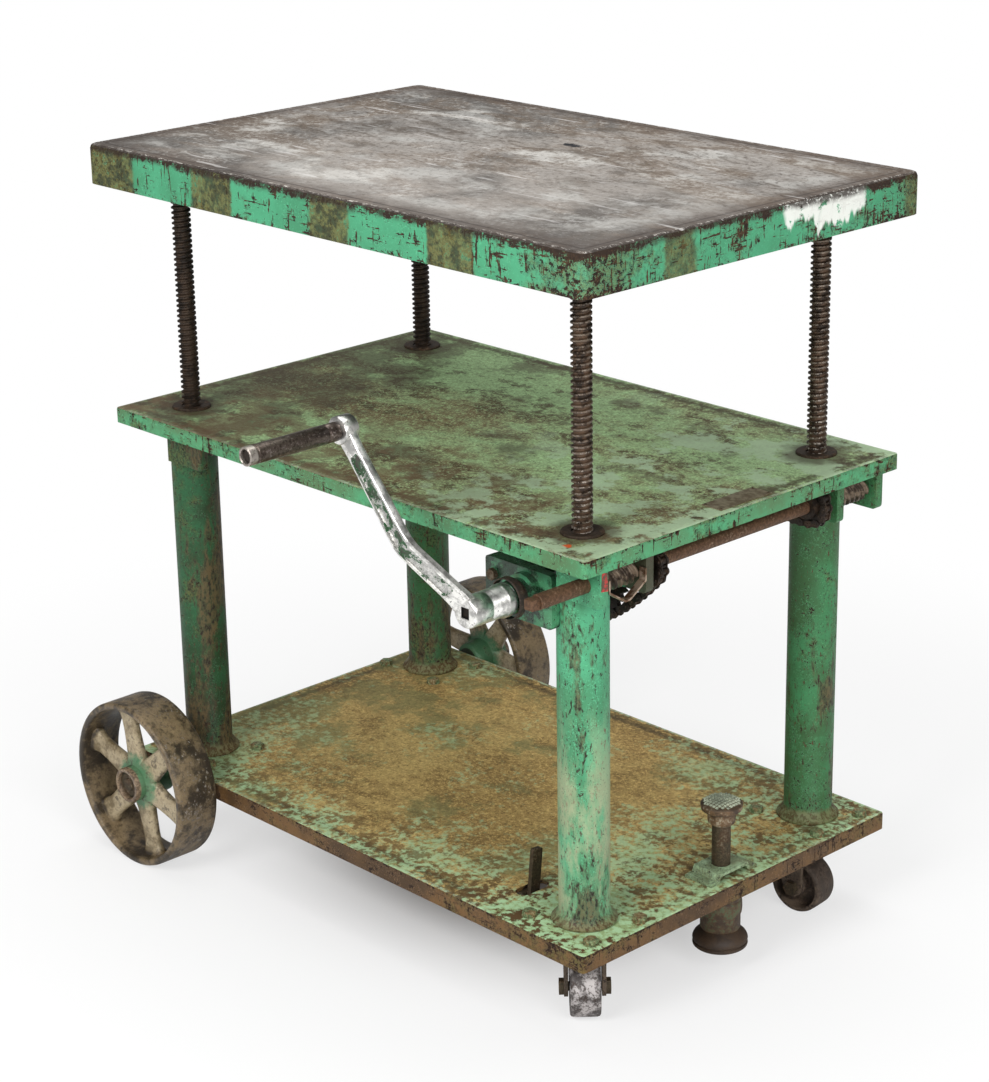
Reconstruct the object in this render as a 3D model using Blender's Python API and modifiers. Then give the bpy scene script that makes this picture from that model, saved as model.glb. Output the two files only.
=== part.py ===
"""Mobile die cart: a screw-lift steel table over two decks, on two spoked wheels and two casters.

Metres, +Z up, floor at z 0. X runs along the cart towards the casters and the floor lock, and the
crank is on the -Y side. Every piece is placed from the middle of the table top, and one empty then
shifts the whole cart so that the middle of its overall box stands over the origin.
"""
import math

import bmesh
import bpy
from mathutils import Matrix, Vector

# Clearances
GAP = 0.0003            # between pieces that touch or run in each other
FIT_GAP = 0.0005        # between the crank and the bearing it stands against
WELD_LAP = 0.00035      # by which a welded piece overlaps a round one

# Table top: a pressed pan with a deep skirt
TABLE_LENGTH = 0.914
TABLE_WIDTH = 0.587
TABLE_HEIGHT = 0.991
TABLE_SKIRT = 0.0525
TABLE_SHEET = 0.0048
TABLE_CORNER = 0.014
TABLE_EDGE = 0.005

# Middle deck
MID_END = 0.012         # its end short of the table's
MID_SIDE = 0.0115       # its side short of the table's
MID_HEIGHT = 0.6314
MID_SKIRT = 0.0208
MID_SHEET = 0.0048

# Lower deck
LOW_END = 0.016         # its end short of the table's
LOW_SIDE = 0.0105       # its side short of the table's
LOW_HEIGHT = 0.132
LOW_SKIRT = 0.0232
LOW_SHEET = 0.0048
DECK_CORNER = 0.005
DECK_EDGE = 0.002

# Legs and the flanges at their feet
LEG_END = 0.0864        # leg's axis in from the table's end
LEG_SIDE = 0.0838       # leg's axis in from the table's side
LEG_RADIUS = 0.03175
LEG_WALL = 0.005
FLANGE_RADIUS = 0.041
FLANGE_THICK = 0.007

# Lifting screws, their sockets under the table and the bushes in the middle deck
SCREW_RADIUS = 0.0128
SCREW_PITCH = 0.007
SCREW_TAIL = 0.055      # length below the nut at the height shown
SOCKET_RADIUS = 0.040
SOCKET_THICK = 0.008
SOCKET_BOSS_RADIUS = 0.022
SOCKET_DEPTH = 0.030
BUSH_RADIUS = 0.017
BUSH_LIP_RADIUS = 0.026
BUSH_LIP = 0.003

# Worm drive on top of each leg
SHAFT_OUT = 0.0474      # cross shaft beyond the screw's axis
SHAFT_DROP = 0.0366     # cross shaft below the underside of the middle deck
SHAFT_RADIUS = 0.0095
WORM_TIP = 0.0160
WORM_ROOT = 0.0122
WORM_LENGTH = 0.056
WORM_ROWS = 16
WORM_SIDES = 10
WORM_STARTS = 4
GEAR_TEETH = 20
GEAR_TOOTH_DEPTH = 0.0036
GEAR_THICK = 0.016
NUT_RADIUS = 0.021

# Bearing plates each side of a leg
BEARING_THICK = 0.0127
BEARING_REACH = 0.0724
BEARING_DROP = 0.0618   # bottom edge below the underside of the middle deck
BEARING_CORNER = 0.006

# Guard under the worm at the crank's leg
GUARD_SHEET = 0.0022
GUARD_WIDE = 0.0095
GUARD_DEPTH = 0.034

# Square ends that take the crank
SQUARE = 0.0127
SQUARE_OUT = 0.1353     # the cross shaft's end beyond the crank corner's screw
SQUARE_LONG = 0.014

# Chains and sprockets
CHAIN_PITCH = 0.0127
ROLLER_RADIUS = 0.0038
LINK_HALF_HEIGHT = 0.0056
INNER_WIDTH = 0.0076
LINK_SHEET = 0.0014
OUTER_LINK = 0.88       # height of an outer link to an inner one
LINK_LAP = 0.0003       # overlap of neighbouring links, which makes the chain one piece
LARGE_PINS = 19         # chain pins seated on the large sprocket
SMALL_PINS = 5          # chain pins seated on the small one
RUN_LINKS = 8           # links in each straight run
SAG = 0.004             # of the slack lower run
SPROCKET_THICK = 0.0066
SPROCKET_HUB_RADIUS = 0.0165
SPROCKET_HUB_LONG = 0.010
SMALL_TEETH = 12
LARGE_TEETH = 30
DRIVE_PLANE = 0.0600    # the drive chain from the leg's axis, inwards
LINK_PLANE = 0.0650     # the long chain from the far leg's axis, inwards
LINK_CHAIN_HALF = 0.0066

# Crank shaft and its bracket
CRANK_IN = 0.0955       # crank shaft in from the cross shaft
CRANK_DROP = 0.0325     # crank shaft below the cross shaft
BRACKET_IN = 0.0705     # end of its plates in from the crank shaft
BRACKET_RIGHT = 0.0070  # end of its plates short of the leg's axis
BRACKET_RISE = 0.029    # top of its plates above the crank shaft
BRACKET_FALL = 0.0385   # bottom of its plates below the crank shaft
BRACKET_WEB = 0.009
BOSS_RADIUS = 0.020
BOSS_DISC_RADIUS = 0.025
BOSS_DISC = 0.011
BOSS_LONG = 0.035

# Crank
CRANK_RADIUS = 0.254
CRANK_ANGLE = math.radians(130)
CRANK_HUB_LONG = 0.0645
CRANK_HUB_RADIUS = 0.019
CRANK_PROUD = 0.001     # hub in front of the arm
CRANK_COLLAR_RADIUS = 0.0207
CRANK_COLLAR = 0.010
CRANK_BEND = 0.0906     # along the arm, from the hub to the end of the slanting part
CRANK_OFFSET = 0.041
CRANK_THICK = 0.012
CRANK_WIDE_HUB = 0.032
CRANK_WIDE_EYE = 0.024
CRANK_RIM = 0.005
CRANK_RECESS = 0.0025
EYE_RADIUS = 0.017
EYE_LONG = 0.022
SPINDLE_RADIUS = 0.0082
GRIP_RADIUS = 0.0115
GRIP_LONG = 0.135

# Spoked wheels and their axle
WHEEL_END = 0.0675      # axle in from the lower deck's end
WHEEL_RADIUS = 0.1174
WHEEL_WIDTH = 0.064
WHEEL_CLEAR = 0.005     # inner face beyond the lower deck's side
WHEEL_RIM = 0.010
WHEEL_HUB_RADIUS = 0.025
WHEEL_HUB_OUT = 0.0035  # hub beyond the rim's outer face
WHEEL_RECESS_RADIUS = 0.019
WHEEL_RECESS = 0.008
SPOKES = 6
SPOKE_WIDE_HUB = 0.028
SPOKE_WIDE_RIM = 0.022
SPOKE_THICK = 0.013
AXLE_RADIUS = 0.0095
SADDLE_SHEET = 0.004
SADDLE_FOOT = 0.018
SADDLE_WIDE = 0.030
SADDLE_SIDE = 0.048     # saddle in from the lower deck's side
AXLE_WASHER_RADIUS = 0.0165
AXLE_WASHER = 0.0025

# Swivel casters
CASTER_END = 0.084      # swivel in from the lower deck's end
CASTER_SIDE = 0.086     # swivel in from the lower deck's side
CASTER_PLATE_LENGTH = 0.096
CASTER_PLATE_WIDTH = 0.084
CASTER_PLATE = 0.005
CASTER_RACE_RADIUS = 0.036
CASTER_RACE = 0.007
CASTER_DISH_RADIUS = 0.046
CASTER_DISH = 0.008
KINGPIN_RADIUS = 0.008
KINGPIN_HEAD_RADIUS = 0.012
KINGPIN_HEAD = 0.005
CASTER_TRAIL = 0.018
CASTER_RADIUS = 0.038
CASTER_WIDTH = 0.038
CASTER_TREAD = 0.007
CASTER_HUB_RADIUS = 0.014
CASTER_WEB = 0.010
FORK_THICK = 0.005
FORK_SIDE_GAP = 0.002
FORK_WIDE_TOP = 0.062
FORK_WIDE_AXLE = 0.026
CASTER_PIN_RADIUS = 0.006
CASTER_NUT_RADIUS = 0.0105
CASTER_NUT = 0.006
NEAR_TRAIL_ANGLE = math.radians(-43)
FAR_TRAIL_ANGLE = math.radians(6)

# Floor lock
LOCK_END = 0.0355       # stem in from the lower deck's end
LOCK_BUTTON_RADIUS = 0.0268
LOCK_BUTTON_RISE = 0.087  # button above the lower deck
LOCK_BUTTON_RIM = 0.008
LOCK_BUTTON_DOME = 0.013
LOCK_NECK_RADIUS = 0.0177
LOCK_NECK = 0.0185
LOCK_STEM_RADIUS = 0.012
LOCK_STRAP_HIGH = 0.0125
LOCK_STRAP_SHEET = 0.004
LOCK_STRAP_LENGTH = 0.086
LOCK_STRAP_TOP = 0.052
LOCK_STRAP_WIDE = 0.044
LOCK_BARREL_RADIUS = 0.0274
LOCK_BARREL_BOTTOM = 0.056
LOCK_FOOT_RADIUS = 0.0355
LOCK_FOOT_TOP_RADIUS = 0.030
LOCK_FOOT_BOTTOM = 0.032
LOCK_FOOT_RIM = 0.009

# Toe lever through the lower deck
LEVER_END = 0.174       # lever in from the lower deck's end
LEVER_SIDE = 0.085      # lever in from the lower deck's side
LEVER_WIDE = 0.016
LEVER_THICK = 0.0060
LEVER_LEAN = math.radians(6)
LEVER_RISE = 0.053      # lever's end above the lower deck
LEVER_DROP = 0.028      # lever's pin below the lower deck
LEVER_TAIL = 0.014
LEVER_SLOT_LONG = 0.050
LEVER_SLOT_WIDE = 0.022
LEVER_PIN_RADIUS = 0.004
LEVER_EAR = 0.004
LEVER_EAR_WIDE = 0.026
LEVER_EAR_BOTTOM = 0.010

# Sides of the round pieces
ROUND = 16
FINE = 24

# Worked out from the sizes above
MID_LENGTH = TABLE_LENGTH - 2 * MID_END
MID_WIDTH = TABLE_WIDTH - 2 * MID_SIDE
LOW_LENGTH = TABLE_LENGTH - 2 * LOW_END
LOW_WIDTH = TABLE_WIDTH - 2 * LOW_SIDE
LEG_X = TABLE_LENGTH / 2 - LEG_END
LEG_Y = TABLE_WIDTH / 2 - LEG_SIDE
WHEEL_X = WHEEL_END - LOW_LENGTH / 2
WHEEL_INNER = LOW_WIDTH / 2 + WHEEL_CLEAR
SADDLE_Y = LOW_WIDTH / 2 - SADDLE_SIDE
CASTER_X = LOW_LENGTH / 2 - CASTER_END
CASTER_Y = LOW_WIDTH / 2 - CASTER_SIDE
LOCK_X = LOW_LENGTH / 2 - LOCK_END
LOCK_BUTTON_BOTTOM = LOW_HEIGHT + LOCK_BUTTON_RISE
LEVER_X = LOW_LENGTH / 2 - LEVER_END
LEVER_Y = LEVER_SIDE - LOW_WIDTH / 2
LEVER_TOP = LOW_HEIGHT + LEVER_RISE
LEVER_PIVOT = LOW_HEIGHT - LEVER_DROP
MID_UNDERSIDE = MID_HEIGHT - MID_SHEET
LOW_UNDERSIDE = LOW_HEIGHT - LOW_SHEET
SHAFT_HEIGHT = MID_UNDERSIDE - SHAFT_DROP
GEAR_TIP = SHAFT_OUT - WORM_TIP - GAP
GEAR_BOTTOM = SHAFT_HEIGHT - GEAR_THICK / 2
NUT_BOTTOM = GEAR_BOTTOM - 0.009
NUT_TOP = MID_UNDERSIDE - GAP
LEG_TOP = NUT_BOTTOM - GAP
SCREW_BORE = SCREW_RADIUS + GAP
SHAFT_BORE = SHAFT_RADIUS + GAP
PLATE_INNER = LEG_RADIUS - WELD_LAP
RIGHT_SHAFT_X = LEG_X + SHAFT_OUT
SQUARE_END = LEG_Y + SQUARE_OUT
CRANK_X = RIGHT_SHAFT_X - CRANK_IN
CRANK_HEIGHT = SHAFT_HEIGHT - CRANK_DROP
BRACKET_LEFT = CRANK_X - BRACKET_IN
BRACKET_TOP = CRANK_HEIGHT + BRACKET_RISE
BRACKET_BOTTOM = CRANK_HEIGHT - BRACKET_FALL
LEFT_SHAFT_X = -LEG_X + SHAFT_OUT
DRIVE_Y = -LEG_Y + DRIVE_PLANE
LINK_Y = LEG_Y - LINK_PLANE
BRACKET_FRONT = -LEG_Y - PLATE_INNER - BEARING_THICK
BOSS_FRONT = BRACKET_FRONT - BOSS_LONG
CRANK_BACK = BOSS_FRONT - FIT_GAP
CRANK_FRONT = CRANK_BACK - CRANK_HUB_LONG
ARM_Y = CRANK_FRONT + CRANK_PROUD + CRANK_THICK / 2
EYE_Y = ARM_Y - CRANK_OFFSET
GRIP_START = EYE_Y - EYE_LONG / 2 - GAP
GRIP_END = GRIP_START - GRIP_LONG
AXLE_HEIGHT = WHEEL_RADIUS
WHEEL_OUTER = WHEEL_INNER + WHEEL_WIDTH
WHEEL_HUB_END = WHEEL_OUTER + WHEEL_HUB_OUT
DRIVE_ANGLE = math.atan2(SHAFT_HEIGHT - CRANK_HEIGHT, RIGHT_SHAFT_X - CRANK_X)
CORNERS = {1: (1, -1), 2: (1, 1), 3: (-1, -1), 4: (-1, 1)}

# The middle of the overall box, which stands over the origin
SHIFT_X = (WHEEL_X - WHEEL_RADIUS + TABLE_LENGTH / 2) / 2
SHIFT_Y = (GRIP_END + WHEEL_HUB_END) / 2

PAINT = (0.10, 0.42, 0.25)
MATERIALS = {
    "worn_top": ((0.32, 0.29, 0.27), 0.45, 0.8),
    "green_paint": (PAINT, 0.5, 0.0),
    "rusty_deck": ((0.20, 0.17, 0.09), 0.75, 0.1),
    "dark_steel": ((0.06, 0.045, 0.035), 0.55, 0.7),
    "bright_steel": ((0.55, 0.54, 0.52), 0.3, 1.0),
    "bronze": ((0.35, 0.22, 0.08), 0.4, 0.9),
    "cast_iron": ((0.14, 0.10, 0.07), 0.65, 0.5),
}


def clear_scene():
    """Empties the scene and returns the collections for the cart and for its cutters."""
    for old in list(bpy.data.objects):
        bpy.data.objects.remove(old, do_unlink=True)
    made = []
    for name in ("mobile_die_cart", "cutters"):
        made.append(bpy.data.collections.new(name))
        bpy.context.scene.collection.children.link(made[-1])
    return made


CART, CUTTERS = clear_scene()
ORIGIN = bpy.data.objects.new("cart_origin", None)
ORIGIN.location = (-SHIFT_X, -SHIFT_Y, 0)
CART.objects.link(ORIGIN)


def material(name):
    """A plain Principled material with the piece's colour, roughness and metallic value."""
    if name in bpy.data.materials:
        return bpy.data.materials[name]
    colour, rough, metal = MATERIALS[name]
    made = bpy.data.materials.new(name)
    made.use_nodes = True
    shader = made.node_tree.nodes["Principled BSDF"]
    shader.inputs["Base Color"].default_value = (*colour, 1)
    shader.inputs["Roughness"].default_value = rough
    shader.inputs["Metallic"].default_value = metal
    return made


def shape(bm, name="shape"):
    """A scratch object from a bmesh, in the cutters' collection until it is named as a piece."""
    bmesh.ops.recalc_face_normals(bm, faces=bm.faces)
    mesh = bpy.data.meshes.new(name)
    bm.to_mesh(mesh)
    bm.free()
    made = bpy.data.objects.new(name, mesh)
    CUTTERS.objects.link(made)
    made.hide_render = True
    made.display_type = "WIRE"
    return made


def piece(name, made, finish, smooth=True, at=(0, 0, 0), parent=ORIGIN):
    """Names a scratch object as a piece of the cart and places it."""
    CUTTERS.objects.unlink(made)
    CART.objects.link(made)
    made.name = name
    made.data.name = name
    made.hide_render = False
    made.display_type = "TEXTURED"
    made.data.materials.clear()
    made.data.materials.append(material(finish))
    made.parent = parent
    made.location = Vector(made.location) + Vector(at)
    if smooth:
        made.data.shade_smooth()
        made.data.set_sharp_from_angle(angle=math.radians(35))
    return made


def box(low, high):
    """A box between two corners."""
    bm = bmesh.new()
    bmesh.ops.create_cube(bm, size=1)
    low, high = Vector(low), Vector(high)
    bmesh.ops.scale(bm, vec=high - low, verts=bm.verts)
    bmesh.ops.translate(bm, vec=(low + high) / 2, verts=bm.verts)
    return shape(bm, "box")


def towards(axis):
    """The turn that takes +Z to an axis named X, Y or Z."""
    if axis == "X":
        return Matrix.Rotation(math.radians(90), 4, "Y")
    if axis == "Y":
        return Matrix.Rotation(math.radians(-90), 4, "X")
    return Matrix.Identity(4)


def rod(start, length, radius, axis="Z", sides=ROUND, end_radius=None):
    """A rod or cone from a start point along an axis, with a corner of its section straight down."""
    bm = bmesh.new()
    other = radius if end_radius is None else end_radius
    bmesh.ops.create_cone(bm, cap_ends=True, segments=sides, radius1=radius, radius2=other, depth=length)
    bmesh.ops.translate(bm, vec=(0, 0, length / 2), verts=bm.verts)
    bmesh.ops.rotate(bm, cent=(0, 0, 0), matrix=Matrix.Rotation(math.pi / 2, 3, "Z"), verts=bm.verts)
    bmesh.ops.transform(bm, matrix=Matrix.Translation(start) @ towards(axis), verts=bm.verts)
    return shape(bm, "rod")


def turned(profile, axis="Z", at=(0, 0, 0), sides=ROUND):
    """A closed profile of (radius, height) points, down its outer side, turned round an axis."""
    mesh = bpy.data.meshes.new("profile")
    count = len(profile)
    edges = [(i, (i + 1) % count) for i in range(count)]
    edges = [edge for edge in edges if max(profile[edge[0]][0], profile[edge[1]][0]) > 0]
    mesh.from_pydata([(radius, 0, height) for radius, height in profile], edges, [])
    made = bpy.data.objects.new("turned", mesh)
    CUTTERS.objects.link(made)
    screw = made.modifiers.new("turn", "SCREW")
    screw.steps = sides
    screw.render_steps = sides
    screw.use_merge_vertices = True
    screw.merge_threshold = 0.00001
    screw.use_normal_calculate = True
    solid = evaluated(made)
    bm = bmesh.new()
    bm.from_mesh(solid)
    bmesh.ops.remove_doubles(bm, verts=bm.verts, dist=0.00001)
    bmesh.ops.transform(bm, matrix=Matrix.Translation(at) @ towards(axis), verts=bm.verts)
    bpy.data.objects.remove(made, do_unlink=True)
    return shape(bm, "turned")


def evaluated(made):
    """The mesh of an object with its modifiers applied."""
    graph = bpy.context.evaluated_depsgraph_get()
    graph.update()
    return bpy.data.meshes.new_from_object(made.evaluated_get(graph))


def outline(loops, thick, plane="XY", at=(0, 0, 0)):
    """Flat closed outlines, the first with any others as holes, made thick about their plane.

    In plane XZ the points are (x, z) and the thickness runs along Y, and in YZ they are (y, z).
    """
    curve = bpy.data.curves.new("outline", "CURVE")
    curve.dimensions = "2D"
    curve.fill_mode = "BOTH"
    curve.extrude = thick / 2
    for points in loops:
        spline = curve.splines.new("POLY")
        spline.points.add(len(points) - 1)
        for point, (x, y) in zip(spline.points, points):
            point.co = (x, y, 0, 1)
        spline.use_cyclic_u = True
    flat = bpy.data.objects.new("outline", curve)
    CUTTERS.objects.link(flat)
    bm = bmesh.new()
    bm.from_mesh(evaluated(flat))
    bmesh.ops.remove_doubles(bm, verts=bm.verts, dist=0.000002)
    turn = Matrix.Identity(4)
    if plane == "XZ":
        turn = Matrix.Rotation(math.radians(90), 4, "X")
    if plane == "YZ":
        turn = Matrix(((0, 0, 1, 0), (1, 0, 0, 0), (0, 1, 0, 0), (0, 0, 0, 1)))
    bmesh.ops.transform(bm, matrix=Matrix.Translation(at) @ turn, verts=bm.verts)
    bpy.data.objects.remove(flat, do_unlink=True)
    return shape(bm, "outline")


def combine(base, others, operation, solver="EXACT"):
    """Joins, cuts or intersects by Boolean modifiers, and returns the result as a plain mesh."""
    for other in others:
        step = base.modifiers.new(operation.lower(), "BOOLEAN")
        step.operation = operation
        step.solver = solver
        step.object = other
    bm = bmesh.new()
    bm.from_mesh(evaluated(base))
    for old in [base, *others]:
        bpy.data.objects.remove(old, do_unlink=True)
    return shape(bm, "combined")


def group(shapes):
    """Several separate solids in one object."""
    bm = bmesh.new()
    for made in shapes:
        bm.from_mesh(made.data)
        bpy.data.objects.remove(made, do_unlink=True)
    mesh = bpy.data.meshes.new("group")
    bm.to_mesh(mesh)
    bm.free()
    whole = bpy.data.objects.new("group", mesh)
    CUTTERS.objects.link(whole)
    return whole


def arc(centre, radius, start, end, steps):
    """Points along an arc, angles in degrees."""
    turns = [math.radians(start + (end - start) * i / steps) for i in range(steps + 1)]
    return [(centre[0] + radius * math.cos(t), centre[1] + radius * math.sin(t)) for t in turns]


def rounded(low, high, radius, steps=3):
    """A rectangle with rounded corners, anticlockwise."""
    points = []
    corners = (
        (high[0] - radius, high[1] - radius, 0),
        (low[0] + radius, high[1] - radius, 90),
        (low[0] + radius, low[1] + radius, 180),
        (high[0] - radius, low[1] + radius, 270),
    )
    for x, y, start in corners:
        points += arc((x, y), radius, start, start + 90, steps)
    return points


def pan(length, width, depth, sheet, corner, edge, top):
    """A deck: a sheet with rounded corners and a skirt turned down all round."""
    bm = bmesh.new()
    bmesh.ops.create_cube(bm, size=1)
    bmesh.ops.scale(bm, vec=(length, width, depth), verts=bm.verts)
    upright = [e for e in bm.edges if abs(e.verts[0].co.z - e.verts[1].co.z) > depth / 2]
    bmesh.ops.bevel(bm, geom=upright, offset=corner, segments=3, affect="EDGES", profile=0.5)
    bottom = [f for f in bm.faces if f.normal.z < -0.9]
    bmesh.ops.delete(bm, geom=bottom, context="FACES")
    rim = [e for e in bm.edges if all(v.co.z > depth / 2 - 1e-6 for v in e.verts)]
    bmesh.ops.bevel(bm, geom=rim, offset=edge, segments=2, affect="EDGES", profile=0.5)
    bmesh.ops.translate(bm, vec=(0, 0, top - depth / 2), verts=bm.verts)
    bmesh.ops.recalc_face_normals(bm, faces=bm.faces)
    shell = shape(bm, "pan")
    if sum(f.normal.z * f.area for f in shell.data.polygons) < 0:
        shell.data.flip_normals()
    thick = shell.modifiers.new("sheet", "SOLIDIFY")
    thick.thickness = sheet
    thick.offset = -1
    thick.use_even_offset = True
    solid = bmesh.new()
    solid.from_mesh(evaluated(shell))
    bpy.data.objects.remove(shell, do_unlink=True)
    return shape(solid, "pan")


def build_table():
    """The table top, the four screws that carry it and the sockets that hold them under it."""
    top = pan(TABLE_LENGTH, TABLE_WIDTH, TABLE_SKIRT, TABLE_SHEET, TABLE_CORNER, TABLE_EDGE, TABLE_HEIGHT)
    under = TABLE_HEIGHT - TABLE_SHEET
    bore = SCREW_BORE
    profile = [
        (SOCKET_RADIUS, 0.002),
        (SOCKET_RADIUS, -SOCKET_THICK),
        (SOCKET_BOSS_RADIUS, -SOCKET_THICK - 0.003),
        (SOCKET_BOSS_RADIUS, -SOCKET_DEPTH),
        (bore, -SOCKET_DEPTH),
        (bore, -0.0001),
        (0, -0.0001),
        (0, 0.002),
    ]
    sockets = [turned(profile, at=(sx * LEG_X, sy * LEG_Y, under)) for sx, sy in CORNERS.values()]
    piece("table_top", combine(top, sockets, "UNION"), "worn_top")
    bottom = NUT_BOTTOM - SCREW_TAIL
    for number, (sx, sy) in CORNERS.items():
        made = rod((0, 0, bottom), under - 2 * GAP - bottom, SCREW_RADIUS, sides=ROUND)
        piece(f"lift_screw_{number}", made, "dark_steel", at=(sx * LEG_X, sy * LEG_Y, 0))


def build_decks():
    """The middle and lower decks, with the holes that pieces pass through, and the bushes."""
    mid = pan(MID_LENGTH, MID_WIDTH, MID_SKIRT, MID_SHEET, DECK_CORNER, DECK_EDGE, MID_HEIGHT)
    holes = []
    for sx, sy in CORNERS.values():
        holes.append(rod((sx * LEG_X, sy * LEG_Y, MID_UNDERSIDE - 0.01), 0.03, BUSH_RADIUS + GAP))
    piece("mid_deck", combine(mid, holes, "DIFFERENCE"), "green_paint")

    lip = MID_HEIGHT + GAP
    profile = [
        (BUSH_LIP_RADIUS - 0.001, lip + BUSH_LIP),
        (BUSH_LIP_RADIUS, lip + BUSH_LIP - 0.001),
        (BUSH_LIP_RADIUS, lip),
        (BUSH_RADIUS, lip),
        (BUSH_RADIUS, MID_UNDERSIDE),
        (SCREW_BORE, MID_UNDERSIDE),
        (SCREW_BORE, lip + BUSH_LIP),
    ]
    for number, (sx, sy) in CORNERS.items():
        piece(f"deck_bush_{number}", turned(profile), "dark_steel", at=(sx * LEG_X, sy * LEG_Y, 0))

    low = pan(LOW_LENGTH, LOW_WIDTH, LOW_SKIRT, LOW_SHEET, DECK_CORNER, DECK_EDGE, LOW_HEIGHT)
    below = LOW_UNDERSIDE - 0.01
    notch = AXLE_RADIUS + 0.001
    slot = rounded((-LEVER_SLOT_WIDE / 2, -LEVER_SLOT_LONG / 2), (LEVER_SLOT_WIDE / 2, LEVER_SLOT_LONG / 2),
                   LEVER_SLOT_WIDE / 2 - 0.001)
    holes = [
        outline([slot], 0.04, at=(LEVER_X, LEVER_Y, LOW_UNDERSIDE)),
        rod((LOCK_X, 0, below), 0.03, LOCK_STEM_RADIUS + GAP),
    ]
    for side in (-1, 1):
        skirt = side * LOW_WIDTH / 2
        low_corner = (WHEEL_X - notch, skirt - 0.008, LOW_HEIGHT - LOW_SKIRT - 0.01)
        holes.append(box(low_corner, (WHEEL_X + notch, skirt + 0.008, LOW_UNDERSIDE)))
    piece("lower_deck", combine(low, holes, "DIFFERENCE"), "rusty_deck")


def bearing_plate(side, notched):
    """One plate beside a leg at the origin, bored for the cross shaft, clear of the deck's end skirt."""
    top = MID_UNDERSIDE - GAP
    bottom = MID_UNDERSIDE - BEARING_DROP
    right = BEARING_REACH
    points = [(0, bottom)] + arc((right - BEARING_CORNER, bottom + BEARING_CORNER), BEARING_CORNER, -90, 0, 3)
    if notched:
        skirt = MID_HEIGHT - MID_SKIRT - GAP
        inner = MID_LENGTH / 2 - MID_SHEET - GAP - LEG_X
        points += [(right, skirt), (inner, skirt), (inner, top)]
    else:
        points += [(right, top)]
    points += [(0, top)]
    y = side * (PLATE_INNER + BEARING_THICK / 2)
    plate = outline([points], BEARING_THICK, "XZ", at=(0, y, 0))
    bore = rod((SHAFT_OUT, y - 0.02, SHAFT_HEIGHT), 0.04, SHAFT_BORE, "Y", 16)
    return combine(plate, [bore], "DIFFERENCE")


def build_legs():
    """Four leg tubes, each welded to the flange it stands on and to its two bearing plates."""
    foot = LOW_HEIGHT + GAP
    inside = LEG_RADIUS - LEG_WALL
    tube = [(LEG_RADIUS, LEG_TOP), (LEG_RADIUS, foot), (inside, foot), (inside, LEG_TOP)]
    lap = LEG_RADIUS - LEG_WALL / 2
    collar = [
        (lap, foot + FLANGE_THICK),
        (LEG_RADIUS + 0.005, foot + FLANGE_THICK),
        (FLANGE_RADIUS, foot + 0.003),
        (FLANGE_RADIUS, foot),
        (lap, foot),
    ]
    for number, (sx, sy) in CORNERS.items():
        tubes = turned(tube)
        parts = [turned(collar), bearing_plate(-1, sx > 0), bearing_plate(1, sx > 0)]
        piece(f"leg_{number}", combine(tubes, parts, "UNION"), "green_paint", at=(sx * LEG_X, sy * LEG_Y, 0))


def gear_points(teeth, tip, root, tip_share, root_share, turn=0.0):
    """A plain gear outline: each tooth is a flat tip between two sloping flanks."""
    points = []
    step = 2 * math.pi / teeth
    for tooth in range(teeth):
        middle = tooth * step + turn
        for radius, share in ((root, -root_share), (tip, -tip_share), (tip, tip_share)):
            angle = middle + share * step / 2
            points.append((radius * math.cos(angle), radius * math.sin(angle)))
    return points


def build_nut_gears():
    """The four worm wheels, each the nut of its screw, running on top of its leg."""
    for number, (sx, sy) in CORNERS.items():
        teeth = gear_points(GEAR_TEETH, GEAR_TIP, GEAR_TIP - GEAR_TOOTH_DEPTH, 0.24, 1.0)
        disc = outline([teeth], GEAR_THICK, at=(0, 0, SHAFT_HEIGHT))
        nut = rod((0, 0, NUT_BOTTOM), NUT_TOP - NUT_BOTTOM, NUT_RADIUS)
        whole = combine(disc, [nut], "UNION")
        bore = rod((0, 0, NUT_BOTTOM - 0.01), NUT_TOP - NUT_BOTTOM + 0.02, SCREW_BORE)
        made = combine(whole, [bore], "DIFFERENCE")
        piece(f"nut_gear_{number}", made, "bronze", at=(sx * LEG_X, sy * LEG_Y, 0))


def worm():
    """A four-start worm along Y with a bore for the shaft: rings of points that climb with the thread."""
    rows, around = WORM_ROWS, WORM_SIDES
    lead = WORM_STARTS * math.pi * 2 * (GEAR_TIP - GEAR_TOOTH_DEPTH / 2) / GEAR_TEETH
    bm = bmesh.new()
    grid = []
    for row in range(rows + 1):
        y = (row / rows - 0.5) * WORM_LENGTH
        ring = []
        for side in range(around):
            angle = 2 * math.pi * side / around
            wave = 0.5 + 0.5 * math.cos(WORM_STARTS * angle - 2 * math.pi * WORM_STARTS * y / lead)
            radius = WORM_ROOT + (WORM_TIP - WORM_ROOT) * min(1, max(0, 1.6 * wave - 0.3))
            ring.append(bm.verts.new((radius * math.sin(angle), y, radius * math.cos(angle))))
        grid.append(ring)
    bores = []
    bore = SHAFT_BORE / math.cos(math.pi / around)
    for y in (WORM_LENGTH / 2, -WORM_LENGTH / 2):
        turns = [2 * math.pi * side / around for side in range(around)]
        bores.append([bm.verts.new((bore * math.sin(t), y, bore * math.cos(t))) for t in turns])
    loops = grid + bores + [grid[0]]
    for one, two in zip(loops, loops[1:]):
        for side in range(around):
            after = (side + 1) % around
            bm.faces.new((one[side], one[after], two[after], two[side]))
    bmesh.ops.triangulate(bm, faces=bm.faces)
    return shape(bm, "worm")


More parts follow.
